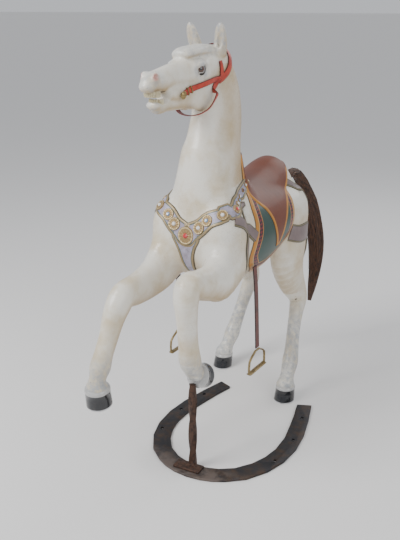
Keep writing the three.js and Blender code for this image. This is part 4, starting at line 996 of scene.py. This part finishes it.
def paint_zones(points, normals):
    """How much of each paint, and of the painted shade, shows at each point of the body."""
    x, y, z = points.T
    # Painted shade, tan: on faces turned from the light, on faces looking down, on the haunch and on the back
    # of the neck; the same tan also stands for yellowed varnish there.
    back = normals @ unit([0.15, 0.75, -0.62])
    shade_and_yellowing = 0.7 * step(0.0, 0.9, back) + 0.5 * step(560, 760, y) * step(300, 420, z) * step(-0.3, 0.6, back)
    shade_and_yellowing += 0.6 * step(0.2, -0.8, normals[:, 2]) * (z > 420)
    shade_and_yellowing += 0.5 * step(230, 330, y) * (z > 930) * (z < 1330) * (y < 420)
    legs = step(400, 250, z)
    muzzle = step(20, -30, y) * step(1180, 1200, z)
    eye = np.linalg.norm(points * [1, 1, 1] - EYE * np.stack([np.sign(x), 1 + 0 * x, 1 + 0 * x], 1), axis=1)
    under_jaw = step(1225, 1205, z) * (z > 1170) * (y < 150)
    cool = 0.85 * legs + 0.5 * muzzle + 0.75 * step(40, 25, eye) + 0.35 * under_jaw
    nostril = np.linalg.norm(np.stack([np.abs(x) - 29, y + 40, z - 1311], 1), axis=1)
    lower = step(1240, 1243, z) * step(1256, 1250, z) * step(30, 20, y) * (y > -60)
    pink = 0.8 * step(14, 8, nostril) + 0.75 * lower
    inside = (z > 1243) & (z < 1266) & (np.abs(normals[:, 2]) > 0.2) & (y < 24) & (y > -28) & (np.abs(x) < 30)
    dark = 0.9 * inside * step(-26, -8, y) + 0.9 * step(EYE_RADIUS + 3.4, EYE_RADIUS + 1.6, eye)
    cool += 0.7 * step(480, 390, z) * (y < 300)
    cool += 0.4 * step(1352, 1362, z) * (y < 292)
    ear_inside = (z > 1385) & (normals[:, 1] < -0.2)
    cool += 0.45 * ear_inside
    zones = {"shade_and_yellowing": shade_and_yellowing, "cool": cool, "pink": pink, "dark": dark}
    return {name: zone.clip(0, 1) for name, zone in zones.items()}


def build_horse(look):
    points, faces = surface_net((-250, -300, -20), (250, 960, 1470), look.grid_mm)
    points = settle(points, 2)
    normals = slope(points)[0]
    paint = body_paint(tuple(look.ivory))
    zones = paint_zones(points, normals)
    body = new_mesh("horse_body", carve_creases(points, normals), faces, paint, values=zones)
    recalculate(body)
    smooth(body, 50)
    collar, harness = collar_paint(tuple(look.collar)), strap_paint()
    gold, black = rosette_paint(), hoof_paint()
    bone = worn("Teeth paint", (0.62, 0.55, 0.36), (0.35, 0.26, 0.13), 0.35, coat=0.3)
    whole = [*mirrored(COLLAR)[:0:-1], *COLLAR]
    rosettes = [*ROSETTES, *mirrored(ROSETTES[1:])]
    parts = [
        cloth("blanket", BLANKET, BLANKET_LIFT, blanket_paint()),
        cloth("saddle", SADDLE, SADDLE_LIFT, saddle_paint(tuple(look.saddle))),
        strap("collar", whole, COLLAR_LIFT, collar, 17, FIELD_DEPTH),
        strap("collar_tongue", TONGUE, TONGUE_LIFT, collar, 13, FIELD_DEPTH),
        *strap_pair("breast_strap", BREAST_STRAP, STRAP_LIFT, harness),
        strap("girth", round_the_back(GIRTH), GIRTH_LIFT, harness),
        strap("breeching", round_the_back(BREECHING), STRAP_LIFT, harness),
        *strap_pair("croup_strap", CROUP_STRAP, CROUP_LIFT, harness),
        *strap_pair("haunch_strap", HAUNCH_STRAP, HAUNCH_LIFT, harness),
        *[disc(f"rosette_{i}", row[:3], row[3], gold) for i, row in enumerate(rosettes)],
        *[hoof(f"hoof_{i}", *row, black) for i, row in enumerate(HOOVES)],
        teeth("teeth_upper", -44, 1251, 1270, 27, 8, bone),
        teeth("teeth_lower", -24, 1222, 1245, 24, 7, bone),
    ]
    for part in parts:
        smooth(part, 45)
    horse = join([body, *parts], "carved_horse")
    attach(horse, "root")
    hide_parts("horse")


# ---------------------------------------------------------------- tail, bridle, eyes and trappings
# Tail: x, y, z, half width, half depth.
TAIL = [
    (0, 905, 800, 15, 15), (0, 945, 838, 19, 17), (2, 1000, 842, 22, 18), (6, 1055, 800, 27, 22),
    (14, 1095, 745, 31, 26), (25, 1130, 680, 35, 30), (35, 1152, 600, 37, 32), (45, 1165, 520, 37, 32),
    (49, 1170, 440, 34, 30),
    (50, 1162, 360, 28, 25), (50, 1142, 290, 20, 18), (50, 1120, 222, 9, 8),
]


def build_tail(look):
    random = np.random.default_rng(7)
    rows = refine(TAIL, 6)
    way = tangents(rows[:, :3])
    count = 72
    turns = np.arange(count) / count * 2 * np.pi
    rings, uv = [], []
    for i, row in enumerate(rows):
        locks = np.abs(np.sin(turns * 7 + 0.9 * math.sin(i * 0.09)))
        groove = 1 - 0.09 * locks - 0.04 * np.abs(np.sin(turns * 19 + i * 0.05))
        spots = ring(row[:3], way[i], (row[3], row[4]), count)
        rings.append(row[:3] + (spots - row[:3]) * groove[:, None])
        uv += [(t / 6.3, i * 0.1) for t in turns]
    material = hair()
    pieces = [tube("tail_core", rings, material, uv=uv)]
    for k in range(look.strands):
        turn, out = random.uniform(0, 2 * math.pi), random.uniform(0.86, 1.0)
        first, last = random.integers(6, 30), random.integers(48, len(rows))
        line = []
        for i in range(first, last, 3):
            lean = (turn + 0.2 * math.sin(i / 9)) / 6.283
            spot = ring(rows[i][:3], way[i], (rows[i][3] * out, rows[i][4] * out), 1, lean)[0]
            line.append((spot, way[i], 1.7 * (1 - 0.6 * (i - first) / (last - first))))
        if len(line) > 4:
            pieces.append(tube(f"strand_{k}", [ring(p, w, r, 4) for p, w, r in line], material,
                               uv=[(k * 0.37 % 1, j * 0.3) for j in range(len(line)) for _ in range(4)]))
    tail = join(pieces, "hair_tail")
    smooth(tail, 60)
    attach(tail, "root")
    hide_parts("tail")


CROWN = [(72, 268, 1276, 11), (72, 288, 1290, 12), (66, 316, 1312, 13), (56, 332, 1342, 14),
         (36, 342, 1372, 14), (0, 340, 1388, 14)]
CHEEK = [(70, 280, 1286, 9), (70, 240, 1285, 9), (68, 200, 1280, 9), (62, 150, 1271, 9),
         (54, 112, 1262, 9), (48, 86, 1254, 9)]
TEMPLE = [(70, 280, 1296, 10), (68, 272, 1318, 9), (62, 268, 1340, 8)]
THROAT = [(74, 272, 1284), (75, 240, 1258), (72, 218, 1228), (62, 198, 1200), (36, 180, 1182), (0, 174, 1176)]
# Gap between the leather of the bridle and the head.
CLEAR = 2.2
# Brass keepers: steps along the cheek strap, half width and height.
KEEPERS_AT, KEEPER_HALF, KEEPER_LIFT = (30, 34), 11.5, 4.6


def leather(name, line, material, lift=3.0):
    rows = refine(line, 8)
    marks = np.linspace(-1, 1, 7)
    edge = rows[:, 3:4] * (1 - np.abs(marks))
    height = CLEAR + lift * step(-2.5, 1.5, edge)
    return shell(name, across(rows, marks), height, material, -CLEAR, {"edge": edge})


def build_bridle(look):
    red = strap_leather("Red leather", tuple(look.bridle), (0.27, 0.02, 0.012))
    brass = worn("Bridle brass", (0.38, 0.28, 0.12), (0.12, 0.08, 0.04), 0.35, 0.9, scale=150.0)
    pieces = [leather("crown", round_the_back(CROWN), red)]
    for i in range(2):
        pieces.append(leather(f"cheek_{i}", both_sides(CHEEK)[i], red, 3.2))
        pieces.append(leather(f"temple_{i}", both_sides(TEMPLE)[i], red, 2.8))
    line = refine(round_the_back(THROAT), 8)
    upper = line[:, 2] > 1250
    line[upper] = settle(line[upper], 6) + slope(settle(line[upper], 6), 4)[0] * (CLEAR + 0.4)
    way = tangents(line)
    out = unit(np.stack([line[:, 0], -20 + 0 * line[:, 0], 2.4 * (line[:, 2] - 1265)], 1))
    side = unit(np.cross(way, out))
    flat = unit(np.cross(side, way))
    profile = [(-9, 0, 0), (9, 0, 0), (9, 2.2, 0.2), (7, 3, 2.4), (0, 3.2, 9), (-7, 3, 2.4), (-9, 2.2, 0.2)]
    rings = line[:, None] + np.stack([side * u + flat * v for u, v, _ in profile], 1)
    pieces.append(tube("throat", rings, red, values={"edge": np.tile([e for *_, e in profile], len(line))}))
    for i, rows in enumerate(both_sides(CHEEK)):
        path = refine(rows, 8)
        for j, at in enumerate(KEEPERS_AT):
            part = np.array(path[at:at + 2])
            part[:, 3] = KEEPER_HALF
            grid = across(part, np.linspace(-1, 1, 5))
            pieces.append(shell(f"keeper_{i}{j}", grid, CLEAR + KEEPER_LIFT, brass, -CLEAR))
    for obj in pieces:
        smooth(obj, 40)
    bridle = join(pieces, "leather_bridle")
    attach(bridle, "root")
    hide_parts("bridle")
    for name, sign in (("left", 1), ("right", -1)):
        point = settle(np.array([[47.0 * sign, 76.0, 1250.0]]), 8)
        axis = slope(point, 8)[0][0]
        base = CLEAR + 3.9
        shape = [(0, 11.5), (1, 12.4), (3, 12.4), (4, 11), (3.2, 9.5), (4, 8), (6.5, 6.5), (8, 3), (8.2, 0.4)]
        rings = [ring(point[0] + axis * (base + h), axis, r, 40) for h, r in shape]
        rosette = tube(f"brass_rosette_{name}", rings, brass)
        smooth(rosette, 35)
        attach(rosette, "root")
        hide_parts(f"bit_rosette_{name}")


def build_eyes():
    material = eye_glass()
    for name, sign in (("left", 1), ("right", -1)):
        centre = EYE * [sign, 1, 1]
        way = unit(EYE_OUT * [sign, 1, 1] + np.array([0, -0.25, 0]))
        angles = np.radians(np.linspace(2, 178, 40))
        slices = [(EYE_RADIUS * math.cos(a), EYE_RADIUS * math.sin(a)) for a in angles]
        rings = [ring(centre + way * ahead, way, radius, 48) for ahead, radius in slices]
        obj = tube(f"glass_eye_{name}", rings, material, values={"turn": np.repeat(np.degrees(angles), 48)})
        smooth(obj, 60)
        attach(obj, "root")
        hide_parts(f"eye_{name}")


# Left stirrup leather: x, y, z; and the middle and top of its iron.
STIRRUP_LINE = [(160, 352, 640), (166, 355, 560), (170, 360, 440), (172, 366, 322)]
IRON_X, IRON_Y, IRON_TOP = 172, 366, 312
IRON_WIDE, IRON_THICK, TREAD_WIDER = 4.6, 3.2, 2.2


def build_trappings():
    brown = strap_leather("Brown leather", (0.12, 0.025, 0.015), (0.05, 0.012, 0.008))
    brass = worn("Stirrup brass", (0.34, 0.26, 0.13), (0.10, 0.07, 0.04), 0.42, 0.9, scale=120.0)
    line = refine(STIRRUP_LINE, 10)
    profile = [(-13, -1, 0), (-12, -2.2, 1), (12, -2.2, 1), (13, -1, 0), (13, 1, 0), (12, 2.2, 1),
               (0, 2.4, 9), (-12, 2.2, 1), (-13, 1, 0)]
    half = [(0, 0), (15, 0), (22, 5), (44, 16), (57, 28), (60, 44), (60, 66), (59, 77), (30, 77)]
    outline = np.array([*half, (0, 77), *[(-u, d) for u, d in half[:0:-1]]], float)
    for name, sign in (("left", 1), ("right", -1)):
        rings = [[(x * sign + v * sign, y + u, z) for u, v, _ in profile] for x, y, z in line]
        edges = np.tile([e for *_, e in profile], len(line))
        hanger = tube(f"leather_{name}", rings, brown, values={"edge": edges})
        smooth(hanger, 40)
        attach(hanger, "root")
        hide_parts(f"stirrup_leather_{name}")
        closed = np.vstack([outline, outline[:1]])
        shares = np.linspace(0, 0.8, 5)[:, None]
        dense = np.vstack([mix(a, b, t) for a, b in zip(closed, closed[1:]) for t in shares])
        ways = unit(np.roll(dense, -1, 0) - np.roll(dense, 1, 0))
        a = np.arange(16) / 16 * 2 * np.pi
        rings = []
        for (u, d), (wu, wd) in zip(dense, ways):
            wide = IRON_WIDE * (TREAD_WIDER if d > 74 else 1)
            rings.append([(IRON_X * sign + wide * math.cos(t), IRON_Y + u + IRON_THICK * wd * math.sin(t),
                           IRON_TOP - d + IRON_THICK * wu * math.sin(t)) for t in a])
        iron = tube(f"brass_iron_{name}", rings, brass, loop=True)
        smooth(iron, 50)
        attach(iron, "root")
        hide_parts(f"stirrup_iron_{name}")


def build_jewels():
    white = glass("White jewel", (0.62, 0.62, 0.60))
    blue = glass("Blue jewel", (0.10, 0.22, 0.42))
    red = glass("Red jewel", (0.42, 0.015, 0.02))
    purple = glass("Purple jewel", (0.08, 0.015, 0.06))
    colours = {1: red, 5: red, 15: red, 3: blue, 7: blue, 13: blue, 17: blue, 9: purple, 19: purple}
    for i in range(1, 22):
        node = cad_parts[f"jewel_{i:02d}"]
        node.data.materials.clear()
        node.data.materials.append(colours.get(i, white))


def bevelled_copy(name, node, width, segments, material):
    """A copy of a hard CAD piece with softened edges, standing for it."""
    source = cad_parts[node]
    obj = bpy.data.objects.new(name, source.data.copy())
    bpy.context.scene.collection.objects.link(obj)
    obj.data.transform(source.matrix_world)
    obj.data.materials.clear()
    obj.data.materials.append(material)
    select(obj)
    bpy.ops.object.mode_set(mode="EDIT")
    bpy.ops.mesh.select_all(action="SELECT")
    bpy.ops.mesh.remove_doubles(threshold=1e-5)
    bpy.ops.mesh.normals_make_consistent(inside=False)
    bpy.ops.object.mode_set(mode="OBJECT")
    bevel = obj.modifiers.new("Bevel", "BEVEL")
    bevel.width, bevel.segments = width, segments
    bevel.limit_method, bevel.angle_limit = "ANGLE", math.radians(40)
    bpy.ops.object.modifier_apply(modifier=bevel.name)
    smooth(obj, 40)
    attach(obj, "root")
    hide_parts(node)


def build_stand():
    shoe = Shader("Horseshoe iron", (0.05, 0.042, 0.04), 0.5, 0.6)
    toe = shoe.node("SeparateXYZ", {0: shoe.where()}).outputs[1]
    colour = shoe.mix(shoe.mottle(28.0, 0.4, 0.7), (0.030, 0.029, 0.032), (0.065, 0.042, 0.030))
    bare = shoe.math("MULTIPLY", shoe.ramp(toe, -0.42, -0.50), shoe.mottle(20.0, 0.3, 0.6))
    colour = shoe.mix(shoe.math("MULTIPLY", bare, 0.7), colour, (0.20, 0.16, 0.14))
    shoe.put("Base Color", colour)
    shoe.bump(shoe.noise(90.0), 0.5)
    rust = worn("Rusty iron", (0.085, 0.045, 0.03), (0.035, 0.025, 0.022), 0.6, 0.5, scale=70.0, amount=0.9)
    bevelled_copy("iron_horseshoe", "horseshoe", 0.0012, 2, shoe.material)
    bevelled_copy("iron_bar", "stand_bar", 0.0009, 1, rust)


# ---------------------------------------------------------------- studio
# Camera: place, degrees down and degrees turned.
CAMERA, CAMERA_DOWN, CAMERA_TURN = (1284, -1811, 1500), 19.778, 32.0
# Softboxes: place, turn in degrees, size, power in watts.
SOFTBOXES = [
    ((-1.6, -2.6, 3.0), (40, 0, -32), 1.8, 120), ((2.6, -1.2, 2.2), (55, 0, 62), 2.0, 28),
    ((0.5, 2.8, 2.8), (-48, 0, 0), 2.0, 30),
]


def build_stage(look):
    bpy.ops.mesh.primitive_plane_add(size=400, location=(0, 0, 0))
    floor = bpy.context.object
    floor.name = "floor"
    pale = Shader("Studio floor", (0.80, 0.79, 0.78), 0.8)
    floor.data.materials.append(pale.material)
    world = bpy.data.worlds.new("Studio")
    bpy.context.scene.world = world
    world.use_nodes = True
    world.node_tree.nodes["Background"].inputs[0].default_value = (0.80, 0.82, 0.86, 1)
    world.node_tree.nodes["Background"].inputs[1].default_value = 0.75
    for i, (spot, turn, size, power) in enumerate(SOFTBOXES):
        data = bpy.data.lights.new(f"softbox_{i}", "AREA")
        data.size, data.energy = size, power
        lamp = bpy.data.objects.new(f"softbox_{i}", data)
        lamp.location = spot
        lamp.rotation_euler = [math.radians(v) for v in turn]
        bpy.context.scene.collection.objects.link(lamp)
    data = bpy.data.cameras.new("camera")
    data.lens = look.lens_mm
    data.sensor_width = 36
    camera = bpy.data.objects.new("camera", data)
    camera.location = place(CAMERA)
    camera.rotation_euler = (math.radians(90 - CAMERA_DOWN), 0, math.radians(CAMERA_TURN))
    bpy.context.scene.collection.objects.link(camera)
    bpy.context.scene.camera = camera


# ---------------------------------------------------------------- add-on
def colour_setting(name, description, default):
    return bpy.props.FloatVectorProperty(
        name=name, description=description, default=default, subtype="COLOR", size=3, min=0.0, max=1.0)


class CarouselHorseLook(bpy.types.PropertyGroup):
    """Settings shared by the pieces of the carousel horse."""

    grid_mm: bpy.props.FloatProperty(
        name="Grid", description="Spacing of the carved mesh in millimetres", default=5.2, min=3.0)
    strands: bpy.props.IntProperty(
        name="Strands", description="Loose locks laid over the tail", default=150, min=0)
    lens_mm: bpy.props.FloatProperty(
        name="Lens", description="Focal length of the camera", default=48.67, unit="CAMERA")
    ivory: colour_setting("Ivory", "Paint of the body", (0.80, 0.77, 0.69))
    saddle: colour_setting("Saddle", "Paint of the saddle", (0.19, 0.046, 0.017))
    collar: colour_setting("Collar", "Field of the collar", (0.40, 0.37, 0.48))
    bridle: colour_setting("Bridle", "Leather of the bridle", (0.50, 0.045, 0.02))


class CAROUSEL_OT_horse(bpy.types.Operator):
    """Build the carved and painted horse with its harness, saddle and blanket"""

    bl_idname = "carousel.horse"
    bl_label = "Carved Horse"

    def execute(self, context):
        build_horse(context.scene.carousel_horse)
        return {"FINISHED"}


class CAROUSEL_OT_tail(bpy.types.Operator):
    """Build the hanging hair tail"""

    bl_idname = "carousel.tail"
    bl_label = "Hair Tail"

    def execute(self, context):
        build_tail(context.scene.carousel_horse)
        return {"FINISHED"}


class CAROUSEL_OT_bridle(bpy.types.Operator):
    """Build the leather bridle and its brass rosettes"""

    bl_idname = "carousel.bridle"
    bl_label = "Bridle"

    def execute(self, context):
        build_bridle(context.scene.carousel_horse)
        return {"FINISHED"}


class CAROUSEL_OT_eyes(bpy.types.Operator):
    """Build the two glass eyes"""

    bl_idname = "carousel.eyes"
    bl_label = "Glass Eyes"

    def execute(self, context):
        build_eyes()
        return {"FINISHED"}


class CAROUSEL_OT_trappings(bpy.types.Operator):
    """Build the stirrup leathers and irons"""

    bl_idname = "carousel.trappings"
    bl_label = "Stirrups"

    def execute(self, context):
        build_trappings()
        return {"FINISHED"}


class CAROUSEL_OT_jewels(bpy.types.Operator):
    """Colour the glass jewels of the collar"""

    bl_idname = "carousel.jewels"
    bl_label = "Jewels"

    def execute(self, context):
        build_jewels()
        return {"FINISHED"}


class CAROUSEL_OT_stand(bpy.types.Operator):
    """Build the iron horseshoe and the twisted bar"""

    bl_idname = "carousel.stand"
    bl_label = "Stand"

    def execute(self, context):
        build_stand()
        return {"FINISHED"}


class CAROUSEL_OT_stage(bpy.types.Operator):
    """Build the floor, lights and camera"""

    bl_idname = "carousel.stage"
    bl_label = "Studio"

    def execute(self, context):
        build_stage(context.scene.carousel_horse)
        return {"FINISHED"}


OPERATORS = (CAROUSEL_OT_horse, CAROUSEL_OT_tail, CAROUSEL_OT_bridle, CAROUSEL_OT_eyes, CAROUSEL_OT_trappings,
             CAROUSEL_OT_jewels, CAROUSEL_OT_stand, CAROUSEL_OT_stage)


SETTINGS = ("grid_mm", "strands", "lens_mm", "ivory", "saddle", "collar", "bridle")


class CAROUSEL_PT_panel(bpy.types.Panel):
    """Sidebar panel with one button for each piece"""

    bl_label = "Carousel Horse"
    bl_space_type = "VIEW_3D"
    bl_region_type = "UI"
    bl_category = "Carousel Horse"

    def draw(self, context):
        look = context.scene.carousel_horse
        for name in SETTINGS:
            self.layout.prop(look, name)
        for operator in OPERATORS:
            self.layout.operator(operator.bl_idname)


CLASSES = (CarouselHorseLook, *OPERATORS, CAROUSEL_PT_panel)


def register():
    for cls in CLASSES:
        bpy.utils.register_class(cls)
    bpy.types.Scene.carousel_horse = bpy.props.PointerProperty(type=CarouselHorseLook)


def unregister():
    del bpy.types.Scene.carousel_horse
    for cls in reversed(CLASSES):
        bpy.utils.unregister_class(cls)


def main():
    register()
    for operator in OPERATORS:
        group, name = operator.bl_idname.split(".")
        getattr(getattr(bpy.ops, group), name)()


if __name__ == "__main__":
    main()
